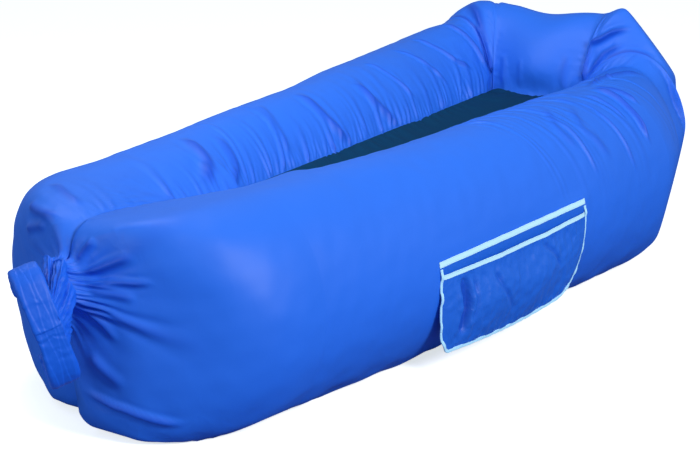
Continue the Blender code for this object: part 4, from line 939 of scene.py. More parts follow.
def end_puckers(rng, grid, spacing, length, depth, width):
    around = run_lengths(grid, 1)
    moves = np.zeros(grid.shape[:2])
    for out in (run_lengths(grid, 0), run_lengths(grid[::-1], 0)[::-1]):
        broad = pucker_starts(rng, END_PUCKERS_FROM, END_PUCKERS_TO, spacing, length, 0.0, depth, width)
        moves += pucker_field(around, out, broad)
        fine = pucker_starts(rng, END_PUCKERS_FROM, END_PUCKERS_TO, spacing / 2.2, length / 2.4, 0.0,
                             depth / 2.0, width / 1.8)
        moves += pucker_field(around, out, fine)
    return moves


def end_crumple(grid):
    return 0.15 + 0.85 * np.exp(-from_either_end(grid) / 0.05)


def make_corner(word, side, folds, rng):
    grid = np.array([elbow_ring(degrees, side) for degrees in np.linspace(*CREASE_ANGLES, CORNER_ROWS)])
    moves = HEAD_NOISE * soft_noise(grid, rng, HEAD_NOISE_SIZE)
    moves += end_puckers(rng, grid, *CORNER_PUCKERS)
    creases = fold_moves(grid, folds)
    moves += creases + swellings(grid)
    moves = sewn(moves, from_either_end(grid))
    skin = dressed(grid, moves, side)
    piece = make_piece(word + "_corner", skin, True, "inflated_body", [word + "_elbow"], NYLON,
                       flip=side < 0.0, crumple=end_crumple(grid), fold=shade_of(creases))


def make_headrest(rng):
    turned = np.linspace(CREASE_ANGLES[1], 90.0, HEAD_TURN_ROWS)
    half = [headrest_ring(share) for share in np.linspace(0.0, 1.0, HEAD_ROWS)[1:]]
    rings = [elbow_ring(degrees, -1.0) for degrees in turned] + half
    rings += [ring * (1.0, -1.0, 1.0) for ring in reversed(half[:-1])]
    rings += [elbow_ring(degrees, 1.0) for degrees in reversed(turned)]
    grid = np.array(rings)
    moves = HEAD_NOISE * soft_noise(grid, rng, HEAD_NOISE_SIZE)
    moves += end_puckers(rng, grid, *HEAD_PUCKERS)
    up_from_seam = above_seam(run_lengths(grid, 1))
    gathers = pucker_starts(rng, *HEAD_SEAM_PUCKERS)
    moves += pucker_field(grid[..., 1], up_from_seam, gathers, 0.006)
    creases = fold_moves(grid, HEAD_FOLDS)
    moves += creases + swellings(grid)
    moves = sewn(moves, from_either_end(grid))
    skin = dressed(grid, moves, -1.0)
    crumple = end_crumple(grid) + near_seam(up_from_seam, 0.08)
    piece = make_piece("head_skin", skin, True, "inflated_body", ["headrest"], NYLON,
                       flip=True, crumple=np.minimum(crumple, 1.0), fold=shade_of(creases))


make_corner("near", -1.0, NEAR_CORNER_FOLDS, np.random.default_rng(5))
make_corner("far", 1.0, FAR_CORNER_FOLDS, np.random.default_rng(6))
make_headrest(np.random.default_rng(7))

# %% [markdown]
# ## The seat cloth
# One dark teal panel is sewn in between the tubes and against the headrest. Blown-up tubes pull it tight
# across, so it is drawn as a stretched sheet with a little sag and short wrinkles along its two seams.

# %% the seat cloth
SEAT_ROWS, SEAT_COLUMNS = 330, 61
SEAT_END = PINCH_X - 0.003
SEAT_SIDE_GAP = 0.0008
SEAT_SAG_SPAN = 0.25
SEAT_EDGE = 0.004
SEAT_PUCKERS = [(0.016, 0.05, 0.4, 0.0030, 0.0045), (0.055, 0.12, 0.5, 0.0040, 0.0090)]
SEAT_HEAD_PUCKERS = (-0.13, 0.13, 0.020, 0.07, 0.0, 0.0030, 0.0050)


def make_seat(rng):
    start = SEAT_START + SEAT_START_ROUNDING * 0.03
    across = np.linspace(0.0, 1.0, SEAT_COLUMNS)
    rows = []
    for x in np.linspace(start, SEAT_END, SEAT_ROWS):
        share = (x - start) / (SEAT_END - start)
        sag = SEAT_SAG * smooth_step(share / SEAT_SAG_SPAN) * smooth_step((1.0 - share) / SEAT_SAG_SPAN)
        y = (seat_half_width(x) - SEAT_SIDE_GAP) * (2.0 * across - 1.0)
        z = seam_height(x) - sag * 4.0 * across * (1.0 - across)
        rows.append(np.stack([np.full(SEAT_COLUMNS, x), y, z], axis=1))
    grid = np.array(rows)
    around = run_lengths(grid, 1)
    from_side = np.minimum(around, around[:, -1:] - around)
    moves = 0.0012 * soft_noise(grid, rng, 0.12)
    for out in (around, around[:, -1:] - around):
        for settings in SEAT_PUCKERS:
            puckers = pucker_starts(rng, start, PINCH_X, *settings)
            moves += pucker_field(grid[..., 0], out, puckers)
    moves += pucker_field(grid[..., 1], PINCH_X - grid[..., 0], pucker_starts(rng, *SEAT_HEAD_PUCKERS))
    cloth = dressed(grid, moves * smooth_step(from_side / SEAT_EDGE), -1.0, closed=False)
    piece = make_piece("seat_cloth", cloth, False, "inflated_body", ["seat_panel"], SEAT_CLOTH,
                       flip=True, crumple=0.4 + 0.6 * np.exp(-from_side / 0.03))


make_seat(np.random.default_rng(8))

# %% [markdown]
# ## The mouth and its ring
# The bag is filled through one wide mouth at the foot. Its cloth is gathered, rolled up round one stiff
# strip, which is cut where the roll bends, bent into a ring and buckled. The roll is a flat band of many
# layers, so its surface is crumpled, with the layers' edges running along it, and it is drawn as two
# halves.

# %% sizes of the ring, as in the imported model
RING_CENTRE = Vector((-0.102, -0.032, 0.256))
RING_TURN, RING_LEAN, RING_PITCH = 32.0, 4.0, -16.0
RING_HALF_DEPTH = 0.042
RING_HALF_HEIGHT = 0.108
ROLL_WIDTH = 0.058
ROLL_THICKNESS = 0.020
ROLL_ROUNDING = 0.008
ROLL_HINGE_ANGLE = 150.0
ROLL_END_ANGLE = 33.0
RING_FAR_ANGLE = 180.0
NECK_HEIGHT_SHARE = 0.92
NECK_SLIT_SHARE = 0.40
NECK_SLIT_POWER = 0.6


def ring_axes():
    turn = radians(RING_TURN)
    away = Vector((-cos(turn), sin(turn), 0.0))
    across = Vector((sin(turn), cos(turn), 0.0))
    set_round = Matrix.Rotation(radians(RING_PITCH), 3, across) @ Matrix.Rotation(radians(RING_LEAN), 3, away)
    return set_round @ away, set_round @ across, set_round @ Vector((0.0, 0.0, 1.0))


AWAY, ACROSS, UPRIGHT = ring_axes()


def ring_frame(degrees):
    """Centre of the roll, its direction and its outward normal at an angle round the ring."""
    angle = radians(degrees)
    offset = ACROSS * (RING_HALF_DEPTH * cos(angle)) + UPRIGHT * (RING_HALF_HEIGHT * sin(angle))
    along = UPRIGHT * (RING_HALF_HEIGHT * cos(angle)) - ACROSS * (RING_HALF_DEPTH * sin(angle))
    along.normalize()
    normal = along.cross(AWAY)
    if normal.dot(offset) < 0.0:
        normal = -normal
    return RING_CENTRE + offset, along, normal


def rounded_outline(width, thickness, rounding, count):
    """Points (w, t) set evenly round a rectangle with round corners, and the outward direction there."""
    dense, facing = [], []
    for side_w, side_t, first in ((1, 1, 0.0), (-1, 1, 0.5), (-1, -1, 1.0), (1, -1, 1.5)):
        for k in range(13):
            angle = pi * (first + 0.5 * k / 12)
            dense.append((side_w * (width / 2.0 - rounding) + rounding * cos(angle),
                          side_t * (thickness / 2.0 - rounding) + rounding * sin(angle)))
            facing.append((cos(angle), sin(angle)))
    dense, facing = np.array(dense + dense[:1]), np.array(facing + facing[:1])
    lengths = lengths_along(dense)
    wanted = np.linspace(0.0, lengths[-1], count, endpoint=False)
    return points_at(wanted, lengths, dense), points_at(wanted, lengths, facing), wanted


# %% the two halves of the roll
ROLL_COLUMNS = 132
LAYER_EDGES = np.array([-0.019, -0.008, 0.004, 0.017])
LAYER_WANDER = 0.0025
LAYER_STEP = 0.0005
ROLL_PRESS = 0.0010
ROLL_END_SPAN = 0.006
ROLL_PUCKERS = (0.024, 0.030, 0.35, 0.0008, 0.0030)


def layer_steps(across, place):
    """Small steps where the edges of the rolled layers lie, wandering along the roll."""
    step = np.zeros(len(across))
    for middle in LAYER_EDGES + LAYER_WANDER * np.sin(place / 0.021 + LAYER_EDGES * 300.0):
        off = across - middle
        step += LAYER_STEP * np.tanh(off / 0.0009) * np.exp(-np.abs(off) / 0.007)
    return step


def make_roll(name, angles, nodes, rng):
    """Half of the rolled mouth: a crumpled band whose layers' edges run along it, closed at both ends."""
    points, outward, around = rounded_outline(ROLL_WIDTH, ROLL_THICKNESS, ROLL_ROUNDING, ROLL_COLUMNS)
    frames = [ring_frame(angle) for angle in angles]
    run = lengths_along(np.array([point for point, along, normal in frames]))
    rings = []
    for (point, along, normal), place in zip(frames, run):
        move = layer_steps(points[:, 0], place) * np.abs(outward[:, 1]) - ROLL_PRESS
        end = min(place, run[-1] - place)
        thinner = 1.0 - 0.25 * (1.0 - smooth_step(end / ROLL_END_SPAN))
        narrower = 1.0 - 0.06 * (1.0 - smooth_step(end / 0.010))
        place_w = points[:, 0] * narrower + outward[:, 0] * move
        place_t = points[:, 1] * thinner + outward[:, 1] * move
        rings.append(np.array(point) + np.outer(place_w, AWAY) + np.outer(place_t, normal))
    grid = np.array(rings)
    cross_wise = pucker_starts(rng, 0.0, run[-1], *ROLL_PUCKERS)
    place = np.broadcast_to(run[:, None], grid.shape[:2])
    moves = 0.0002 * soft_noise(grid, rng, 0.020) + 0.0010 * soft_noise(grid, rng, 0.080)
    for column in (0, ROLL_COLUMNS // 2, ROLL_COLUMNS // 4, 3 * ROLL_COLUMNS // 4):
        away_from = np.abs(around - around[column])
        away_from = np.minimum(away_from, around[-1] - away_from)
        moves += pucker_field(place, np.broadcast_to(away_from[None, :], grid.shape[:2]), cross_wise, 0.004)
    ends = smooth_step(np.minimum(run, run[-1] - run) / ROLL_END_SPAN)[:, None]
    moved = grid + grid_normals(grid, 1.0) * (np.clip(moves, -0.004, 0.0015) * ends)[..., None]
    for end, ring in ((0, moved[0].mean(axis=0)), (-1, moved[-1].mean(axis=0))):
        caps = [moved[end] + (ring - moved[end]) * share for share in (0.35, 0.7, 0.98)]
        moved = np.concatenate([caps[::-1], moved]) if end == 0 else np.concatenate([moved, caps])
    return make_piece(name, moved, True, None, nodes, ROLLED,
                      crumple=np.full(moved.shape[:2], 0.4))


def hinge_span(angle):
    """Start and end of the bend that an arm makes at its hinge."""
    point, along, normal = ring_frame(angle)
    way = along if angle > RING_FAR_ANGLE else -along
    middle = point + Vector(SHIFT)
    return tuple(middle - way * 0.010), tuple(middle + way * 0.014)


upper_roll = make_roll("roll_upper", np.linspace(RING_FAR_ANGLE - 0.1, ROLL_END_ANGLE, 200),
                       ["mouth_roll_upper"], np.random.default_rng(21))
lower_roll = make_roll("roll_lower", np.linspace(RING_FAR_ANGLE - 8.0, 360.0 - ROLL_END_ANGLE, 210),
                       ["mouth_roll_lower", "mouth_roll_middle"], np.random.default_rng(22))
for piece, body, angle in ((upper_roll, "upper_arm", ROLL_HINGE_ANGLE),
                           (lower_roll, "lower_arm", 360.0 - ROLL_HINGE_ANGLE)):
    start, end = hinge_span(angle)
    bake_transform(piece)


# %% the gathered neck
NECK_COLUMNS, NECK_ROWS = 288, 70
PLEATS = 26
PLEAT_WIDTH = 0.060
PLEAT_DEPTH = 0.0042


def pleats_round(turns, rng):
    """Pleats of uneven spacing and depth round the neck, each a furrow with a ridge beside it."""
    folds = np.cumsum(rng.uniform(0.6, 1.4, PLEATS))
    folds = folds / folds[-1] * 2.0 * pi - pi / 2.0
    depths = rng.uniform(0.5, 1.3, PLEATS)
    pleat = np.zeros(len(turns))
    for middle, depth in zip(folds, depths):
        off = np.abs((turns - middle + pi) % (2.0 * pi) - pi)
        pleat -= depth * np.exp(-(off / PLEAT_WIDTH) ** 2)
        pleat += 0.35 * depth * np.exp(-((off - 0.12) / 0.06) ** 2)
    return pleat


def make_neck(rng):
    count = NECK_COLUMNS
    turns = np.linspace(-pi / 2.0, 1.5 * pi, count, endpoint=False)
    pleat = pleats_round(turns, rng)
    rings = []
    for share in np.linspace(0.0, 1.0, NECK_ROWS):
        gather = GATHER_DEPTH * (1.0 + np.cos(GATHER_FOLDS * turns))
        opening = np.stack([np.full(count, -MOUTH_REACH + 0.004),
                            -(MOUTH_HALF_WIDTH + gather) * np.cos(turns),
                            MOUTH_HEIGHT + (MOUTH_HALF_HEIGHT + gather) * np.sin(turns)], axis=1)
        slit = []
        for turn in turns:
            angle = RING_FAR_ANGLE - (RING_FAR_ANGLE - ROLL_HINGE_ANGLE) * NECK_HEIGHT_SHARE * sin(turn)
            point, along, normal = ring_frame(angle)
            face = point - AWAY * (ROLL_WIDTH / 2.0 - 0.007)
            bulge = abs(cos(turn)) ** NECK_SLIT_POWER * (1.0 if cos(turn) > 0.0 else -1.0)
            slit.append(face + normal * (ROLL_THICKNESS * NECK_SLIT_SHARE * bulge))
        rings.append(opening + (np.array(slit) - opening) * share)
    grid = np.array(rings)
    shares = np.linspace(0.0, 1.0, NECK_ROWS)[:, None]
    free = np.sin(pi * np.clip(shares * 0.9 + 0.04, 0.0, 1.0))
    moves = PLEAT_DEPTH * pleat[None, :] * free - 0.001
    moves = moves + 0.0012 * soft_noise(grid, rng, 0.02) * np.sin(pi * shares)
    skin = grid + grid_normals(grid, 1.0) * moves[..., None]
    make_piece("neck_cloth", skin, True, "inflated_body", ["mouth_neck"], ROLLED,
               crumple=np.ones(grid.shape[:2]))


make_neck(np.random.default_rng(23))

# %% [markdown]
# ## Webbing and buckle
# Two short ends of woven webbing hold the side-release buckle. The webbing is a flat ribbed tape that
# comes out of the roll, turns round the buckle's bar and goes back into the roll. The buckle keeps the
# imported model's shape and gets grained plastic with slightly worn edges.

# %% flat tapes, swept with a rounded section
TAPE_COLUMNS = 40


def sweep_tape(name, centres, widths_way, thick_way, width, thickness, body, nodes, material):
    """A tape along centre points; widths_way and thick_way give its directions at each point."""
    points = rounded_outline(width, thickness, thickness * 0.45, TAPE_COLUMNS)[0]
    rings = [centre + np.outer(points[:, 0], wide) + np.outer(points[:, 1], thick)
             for centre, wide, thick in zip(centres, widths_way, thick_way)]
    rings = [rings[0] * 0.02 + centres[0] * 0.98] + rings + [rings[-1] * 0.02 + centres[-1] * 0.98]
    grid = np.array(rings)
    make_piece(name, grid, True, body, nodes, material, crumple=np.full(grid.shape[:2], 0.5),
               across=points[:, 0] + width / 2.0)


def make_strap(name, roll_angle, bar_y, bar_side, body):
    matrix = Matrix((AWAY, UPRIGHT, ACROSS)).transposed().to_4x4()
    matrix.translation = ring_frame(0.0)[0]
    inverse = matrix.inverted()
    end_point, end_along, end_normal = ring_frame(roll_angle)
    start = inverse @ (end_point - end_along * (bar_side * SEAM_GAP))
    normal = (inverse.to_3x3() @ end_normal).normalized() * (WEBBING_THICKNESS / 2.0 + SEAM_GAP)
    radius = BAR_THICKNESS * BAR_CORNER_SHARE + SEAM_GAP + WEBBING_THICKNESS / 2.0
    corners = [start + normal]
    for turn in np.linspace(pi / 2.0, -pi / 2.0, 25):
        corners.append(Vector((0.0, bar_y - bar_side * radius * cos(turn), radius * sin(turn))))
    corners.append(start - normal)
    corners = np.array(corners)
    run = lengths_along(corners)
    flat = points_at(np.linspace(0.0, run[-1], STRAP_ROWS), run, corners)
    tangents = np.gradient(flat, axis=0)
    tangents /= np.linalg.norm(tangents, axis=1, keepdims=True)
    thick = np.cross(np.array([1.0, 0.0, 0.0])[None, :], tangents)
    turn_matrix = np.array(matrix.to_3x3())
    centres = flat @ turn_matrix.T + np.array(matrix.translation)
    wide = np.tile(turn_matrix @ np.array([1.0, 0.0, 0.0]), (len(flat), 1))
    sweep_tape(name, centres, wide, thick @ turn_matrix.T, WEBBING_WIDTH, WEBBING_THICKNESS, body,
               [name], WEBBING)


STRAP_ROWS = 90
WEBBING_WIDTH = 0.025
WEBBING_THICKNESS = 0.0014
BAR_THICKNESS = 0.0032
BAR_CORNER_SHARE = 0.72
MATING_GAP = 0.0003
PLUG_LENGTH = 0.0135
SOCKET_LENGTH = 0.031
PLUG_BAR_Y = MATING_GAP + PLUG_LENGTH - BAR_THICKNESS / 2.0
SOCKET_BAR_Y = BAR_THICKNESS / 2.0 - SOCKET_LENGTH

make_strap("strap_upper", ROLL_END_ANGLE, PLUG_BAR_Y, 1.0, "upper_arm")
make_strap("strap_lower", 360.0 - ROLL_END_ANGLE, SOCKET_BAR_Y, -1.0, "lower_arm")

# %% buckle and stiff strips keep their shape
def give_material(nodes, material):
    for node in nodes:
        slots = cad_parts[node].data.materials
        slots.clear()
        slots.append(material)


give_material(("buckle_plug", "buckle_socket", "buckle_prong_outer", "buckle_prong_inner"), BUCKLE)
give_material(("stiff_strip_middle", "stiff_strip_upper", "stiff_strip_lower"), STRIP)


# %% [markdown]
# ## The side pocket
# The pocket is sewn to the tube by its top tape only and hangs free below it. Its back cloth lies on the
# tube, its front cloth stands off in soft folds, and pale tape edges its top, its mouth and its rim. Thin
# cloth creases everywhere, so the front is crinkled as geometry, and the rim's binding waves with it.

# %% sizes of the pocket
POCKET_START = 0.630
POCKET_WIDTH = 0.545
POCKET_TOPS = (0.252, 0.278)
POCKET_DROP = 0.200
POCKET_SAG = 0.015
TOP_TAPE_HEIGHT = 0.016
MOUTH_TAPE_HEIGHT = 0.013
MOUTH_DROP = 0.012
BINDING_WIDTH = 0.008
BINDING_GAP = 0.0008
BINDING_THICKNESS = 0.0032
TAPE_THICKNESS = 0.0014
POCKET_LIFT_GAP = 0.0006
BRIDGED_HEIGHT = 0.006
POCKET_FRONT_STAND = 0.0030
POCKET_BELLY = 0.028
POCKET_BELLY_POWER = 0.6
POCKET_MOUTH_SHARE = 0.35
POCKET_FULLEST_SHARE = 0.55
POCKET_FOOT_POWER = 3.0
POCKET_FOLD_DEPTH = 0.008
POCKET_FOLDS = 3
POCKET_FOLD_SLANT = 0.9
POCKET_CORNERS = ((0.030, 0.050), (0.120, 0.150))


def hang_surface(x, z):
    """Where cloth lies that rests on the near tube and hangs straight down below its widest line."""
    half = (tube_height(x, -1.0) + FLOOR_SINK) / 2.0
    centre = half - FLOOR_SINK
    share = (x - WIDTH_GROWS_FROM) / (WIDEST_AT - WIDTH_GROWS_FROM)
    reach = FOOT_HALF_WIDTH + (HEAD_HALF_WIDTH - FOOT_HALF_WIDTH) * share ** WIDTH_GROWTH_POWER
    outer = (reach - SEAT_HALF_WIDTHS[1] * x / PINCH_X) * OUTER_AXIS_SHARE
    rise = np.maximum(z - BRIDGED_HEIGHT - centre, 0.0) / half
    return reach - outer + outer * np.sqrt(np.maximum(1.0 - rise * rise, 0.0))


def pocket_points(s, drop, stand):
    """Points of the pocket in its own plan: s along its top edge, drop below it, standing off the tube."""
    drop = drop + POCKET_SAG * np.sin(pi * s / POCKET_WIDTH) * (drop / POCKET_DROP) ** 3
    x = POCKET_START + s
    z = POCKET_TOPS[0] + (POCKET_TOPS[1] - POCKET_TOPS[0]) * s / POCKET_WIDTH - drop
    return np.stack([x, -hang_surface(x, z) - stand, z], axis=-1)


def pocket_edges(drop, inset):
    reaches = []
    for width, height in POCKET_CORNERS:
        into = max(drop - (POCKET_DROP - height), 0.0) / (height - inset)
        reaches.append(inset + (width - inset) * (1.0 - sqrt(max(1.0 - into * into, 0.0))))
    return reaches[0], POCKET_WIDTH - reaches[1]


def front_stand(share, down):
    across = np.maximum(np.sin(pi * share), 0.0) ** POCKET_BELLY_POWER
    along = POCKET_MOUTH_SHARE + (1.0 - POCKET_MOUTH_SHARE) * smooth_step(down / POCKET_FULLEST_SHARE)
    along = along * (1.0 - np.clip(down, 0.0, 1.0) ** POCKET_FOOT_POWER)
    fold = (1.0 + np.cos(2.0 * pi * POCKET_FOLDS * share + POCKET_FOLD_SLANT * down)) / 2.0
    return POCKET_FRONT_STAND + across * along * (POCKET_BELLY + POCKET_FOLD_DEPTH * fold)


# %% the pocket's cloths
POCKET_CREASES = [
    ([(0.070, 0.046), (0.078, 0.110), (0.060, 0.175)], 0.011, 0.020),
    ([(0.100, 0.045), (0.105, 0.100), (0.092, 0.160)], 0.006, 0.005),
    ([(0.160, 0.050), (0.185, 0.100), (0.240, 0.165)], 0.006, 0.004),
    ([(0.345, 0.048), (0.390, 0.080), (0.420, 0.130)], 0.006, 0.004),
]
MOUTH_PUCKERS = (0.02, 0.53, 0.016, 0.045, 0.1, 0.0018, 0.0030)
BOTTOM_PUCKERS = (0.03, 0.52, 0.018, 0.05, 0.0, 0.0026, 0.0040)
UNDER_TAPE = 0.002
CLOTH_GAP = 0.0004
CREASE_DARK_DEPTH = 0.012


def pocket_grid(top_drop, rows, columns):
    inset = BINDING_WIDTH / 2.0
    bottom = POCKET_DROP - inset
    downs = np.sin(np.linspace(0.0, pi / 2.0, rows))
    s, drop, shares = [], [], np.linspace(0.0, 1.0, columns)
    for down in downs:
        at = top_drop + (bottom - top_drop) * down
        first, last = pocket_edges(at, inset)
        s.append(first + (last - first) * shares)
        drop.append(np.full(columns, at))
    return np.array(s), np.array(drop), np.broadcast_to(shares, (rows, columns)), downs[:, None]


def make_pocket_back():
    s, drop, _, _ = pocket_grid(TOP_TAPE_HEIGHT - UNDER_TAPE, 90, 160)
    back = pocket_points(s, drop, np.full(s.shape, POCKET_LIFT_GAP + CLOTH_GAP))
    piece = make_piece("pocket_back_cloth", back, False, "pocket", ["pocket_back"],
                       POCKET_CLOTH, crumple=np.full(s.shape, 0.7))


def make_pocket_front(rng):
    top = TOP_TAPE_HEIGHT + MOUTH_DROP + MOUTH_TAPE_HEIGHT - UNDER_TAPE
    s, drop, share, down = pocket_grid(top, 150, 300)
    free = smooth_step(np.minimum(share, 1.0 - share) / 0.06) * smooth_step((1.0 - down) / 0.10)
    plan = np.stack([s, np.zeros_like(s), -drop], axis=-1)
    crease = 0.0
    for path, width, depth in POCKET_CREASES:
        crease = crease + groove_field(plan, [(a, 0.0, -b) for a, b in path], width, depth)
    ridged = -np.abs(soft_noise(plan, rng, 0.060)) + 0.6
    crinkle = 0.0011 * ridged + 0.0005 * soft_noise(plan, rng, 0.022)
    gathered = pucker_field(s, drop - top, pucker_starts(rng, *MOUTH_PUCKERS))
    from_bottom = np.broadcast_to((1.0 - down) * (POCKET_DROP - top), s.shape)
    gathered = gathered + pucker_field(s, from_bottom, pucker_starts(rng, *BOTTOM_PUCKERS))
    stand = front_stand(share, down) + free * (crinkle + crease + gathered)
    front = pocket_points(s, drop, np.maximum(stand, POCKET_FRONT_STAND))
    # painted shade in the pocket's creases
    shade = np.clip(-crease / CREASE_DARK_DEPTH, 0.0, 1.0)
    piece = make_piece("pocket_front_cloth", front, False, "pocket", ["pocket_front"],
                       POCKET_CLOTH, crumple=np.ones(s.shape), fold=shade)


make_pocket_back()
make_pocket_front(np.random.default_rng(31))


# %% the pocket's tapes
TAPE_ROWS = 260
BINDING_STEP = 0.0022
BINDING_WAVE = 0.0016


def surface_frame(s, drop, stand):
    """Centre, downward way and outward way of the pocket's surface at points of its plan."""
    step = 0.0005
    centre = pocket_points(s, drop, stand)
    down = pocket_points(s, drop + step, stand) - pocket_points(s, drop - step, stand)
    along = pocket_points(s + step, drop, stand) - pocket_points(s - step, drop, stand)
    down /= np.linalg.norm(down, axis=-1, keepdims=True)
    along /= np.linalg.norm(along, axis=-1, keepdims=True)
    out = np.cross(along, down)
    out /= np.linalg.norm(out, axis=-1, keepdims=True)
    return centre, down, out * np.sign(-out[..., 1:2])


def make_tape(name, top_drop, height, ends, stand, body, node):
    s = np.linspace(ends, POCKET_WIDTH - ends, TAPE_ROWS)
    drop = np.full(s.shape, top_drop + height / 2.0)
    wave = 0.0005 * np.sin(s / 0.013 + 1.2 * np.sin(s / 0.031))
    centre, down, out = surface_frame(s, drop, stand + wave)
    sweep_tape(name, centre, down, out, height, TAPE_THICKNESS, body, [node], TAPE)


def make_binding(name, path, node, rng):
    """Binding folded over the rim, along a path of (s, drop) points, waving with the cloth."""
    path = np.array(path)
    run = lengths_along(path)
    wanted = np.linspace(0.0, run[-1], max(int(run[-1] / BINDING_STEP), 40))
    s, drop = points_at(wanted, run, path).T
    s_way, drop_way = np.gradient(s), np.gradient(drop)
    size = np.hypot(s_way, drop_way)
    phase = rng.uniform(0.0, 6.0)
    fade = smooth_step(np.minimum(wanted, run[-1] - wanted) / 0.02)
    wave = BINDING_WAVE * np.sin(wanted / 0.009 + 1.5 * np.sin(wanted / 0.041) + phase) * fade
    stand = POCKET_LIFT_GAP + CLOTH_GAP + BINDING_THICKNESS / 2.0 + np.maximum(wave, -0.0002) * 1.4
    s_waved, drop_waved = s + wave * 0.5 * drop_way / size, drop - wave * 0.5 * s_way / size
    centre, down, out = surface_frame(s_waved, drop_waved, stand)
    along = np.gradient(centre, axis=0)
    along /= np.linalg.norm(along, axis=1, keepdims=True)
    sweep_tape(name, centre, np.cross(out, along), out, BINDING_WIDTH * 0.96, BINDING_THICKNESS, "pocket",
               [node], BINDING)


def rim_paths():
    inset = BINDING_WIDTH / 2.0
    (foot_w, foot_h), (head_w, head_h) = POCKET_CORNERS
    top = TOP_TAPE_HEIGHT + SEAM_GAP
    last, foot_drop, head_drop = POCKET_WIDTH - inset, POCKET_DROP - foot_h, POCKET_DROP - head_h
    foot_side = [(inset, top), (inset, foot_drop)]
    head_side = [(last, top), (last, head_drop)]
    bottom = [(foot_w - (foot_w - inset) * cos(turn), foot_drop + (foot_h - inset) * sin(turn))
              for turn in np.linspace(0.0, pi / 2.0, 20)]
    bottom += [(s, POCKET_DROP - inset) for s in np.linspace(foot_w, POCKET_WIDTH - head_w, 12)[1:-1]]
    bottom += [(POCKET_WIDTH - head_w + (head_w - inset) * cos(turn),
                head_drop + (head_h - inset) * sin(turn))
               for turn in np.linspace(pi / 2.0, 0.0, 40)]
    return foot_side, bottom, head_side


make_tape("pocket_top_band", 0.0005, TOP_TAPE_HEIGHT - 0.003, 0.0, POCKET_LIFT_GAP + TAPE_THICKNESS / 2.0,
          "inflated_body", "pocket_top_tape")
make_tape("pocket_mouth_band", TOP_TAPE_HEIGHT + MOUTH_DROP + 0.0015, MOUTH_TAPE_HEIGHT - 0.0025,
          BINDING_WIDTH + BINDING_GAP, front_stand(np.linspace(0.0, 1.0, TAPE_ROWS), 0.0), "pocket",
          "pocket_mouth_tape")
for word, path in zip(("foot", "bottom", "head"), rim_paths()):
    make_binding("pocket_rim_" + word, path, "pocket_binding_" + word, np.random.default_rng(len(word)))

# %% [markdown]
# ## Camera, floor and lights
# The photograph is cut out on pure white, under soft light. Here one large lamp stands on the pocket's
# side, a weaker one beyond the foot, a small one shines on the headrest and a faint one hangs above. The
# camera is the one fitted to the photograph. The floor and the surroundings are white only to the camera,
# so that they don't wash out the underside, and a faint shadow stays under the foot.

# %% camera
AZIMUTH, ELEVATION = radians(-56.1), radians(14.0)
CAMERA_AIM = Vector((1.0, 0.0, 0.3))
CAMERA_DISTANCE = 3.96
CAMERA_SCALE = 0.9253
BODY_START = 0.08
PHOTO_WIDTH = 700.0
FOCAL_PIXELS = 1555.0
CENTRE_SHIFT = (-27.0, -40.0)
SENSOR_WIDTH = 36.0


def set_camera():
    away = Vector((sin(AZIMUTH) * cos(ELEVATION), -cos(AZIMUTH) * cos(ELEVATION), sin(ELEVATION)))
    data = bpy.data.cameras.new("camera")
    camera = bpy.data.objects.new("camera", data)
    bpy.context.scene.collection.objects.link(camera)
    fitted = (CAMERA_AIM + away * CAMERA_DISTANCE) * CAMERA_SCALE
    camera.location = fitted + Vector((BODY_START + SHIFT[0], 0.0, 0.0))
    camera.rotation_euler = (-away).to_track_quat("-Z", "Y").to_euler()
    data.sensor_width = SENSOR_WIDTH
    data.lens = FOCAL_PIXELS * SENSOR_WIDTH / PHOTO_WIDTH
    data.shift_x = CENTRE_SHIFT[0] / PHOTO_WIDTH
    data.shift_y = CENTRE_SHIFT[1] / PHOTO_WIDTH
    bpy.context.scene.camera = camera


set_camera()


# %% lamps
def area_lamp(name, place, aim, size, power):
    data = bpy.data.lights.new(name, "AREA")
    data.shape = "DISK"
    data.size = size
    data.energy = power
    lamp = bpy.data.objects.new(name, data)
    lamp.location = place
    lamp.rotation_euler = (Vector(aim) - Vector(place)).to_track_quat("-Z", "Y").to_euler()
    bpy.context.scene.collection.objects.link(lamp)


area_lamp("key_lamp", (-1.0, -4.0, 2.4), (0.0, 0.0, 0.25), 1.4, 150.0)
area_lamp("top_lamp", (-1.4, 0.4, 3.0), (0.2, 0.0, 0.2), 2.2, 4.0)
area_lamp("foot_lamp", (-4.2, 1.1, 1.6), (0.0, 0.1, 0.4), 1.6, 34.0)
area_lamp("head_lamp", (-0.5, 0.4, 1.8), (0.85, 0.15, 0.45), 0.8, 15.0)


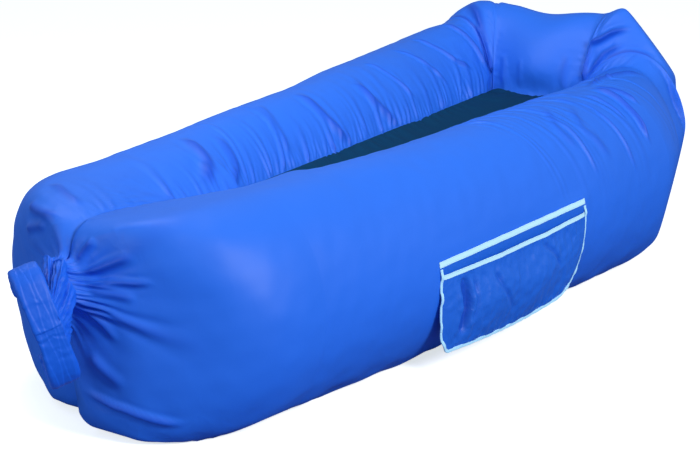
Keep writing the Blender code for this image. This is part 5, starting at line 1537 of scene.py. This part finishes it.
# %% surroundings: white to the camera, dimmer to everything else
ROOM_TINT = (0.80, 0.92, 1.0, 1.0)
ROOM_LIGHT, ROOM_LIGHT_TO_CAMERA = 0.38, 0.77
FLOOR_SIZE, FLOOR_LEVEL = 9.0, -0.0005
FLOOR_TINT = (0.14, 0.20, 0.36, 1.0)
FLOOR_TO_CAMERA = (0.88, 0.88, 0.88, 1.0)
FLOOR_GLOW, FLOOR_GLOW_TINT = 0.70, (0.95, 1.0, 1.0, 1.0)


def seen_by_camera(tree):
    return tree.nodes.new("ShaderNodeLightPath").outputs["Is Camera Ray"]


def make_room():
    world = bpy.data.worlds.new("room")
    bpy.context.scene.world = world
    world.use_nodes = True
    tree = world.node_tree
    background = tree.nodes["Background"]
    camera_ray = seen_by_camera(tree)
    tint = mix_colours(tree, camera_ray, ROOM_TINT, (1.0, 1.0, 1.0, 1.0))
    tree.links.new(tint, background.inputs["Color"])
    strength = maths(tree, "MULTIPLY_ADD", camera_ray, ROOM_LIGHT_TO_CAMERA, ROOM_LIGHT)
    tree.links.new(strength, background.inputs["Strength"])


def make_floor():
    mesh = bpy.data.meshes.new("floor")
    corners = [(x * FLOOR_SIZE, y * FLOOR_SIZE, FLOOR_LEVEL) for x, y in ((-1, -1), (1, -1), (1, 1), (-1, 1))]
    mesh.from_pydata(corners, [], [(0, 1, 2, 3)])
    floor = bpy.data.objects.new("floor", mesh)
    bpy.context.scene.collection.objects.link(floor)
    material, tree, shader = start_material("floor", (0.9, 0.9, 0.9), 0.9)
    camera_ray = seen_by_camera(tree)
    seen = mix_colours(tree, camera_ray, FLOOR_TINT, FLOOR_TO_CAMERA)
    tree.links.new(seen, shader.inputs["Base Color"])
    shader.inputs["Specular IOR Level"].default_value = 0.0
    shader.inputs["Emission Color"].default_value = FLOOR_GLOW_TINT
    glow = maths(tree, "MULTIPLY", camera_ray, FLOOR_GLOW)
    tree.links.new(glow, shader.inputs["Emission Strength"])
    mesh.materials.append(material)


make_room()
make_floor()
bpy.context.scene.view_settings.view_transform = "Standard"
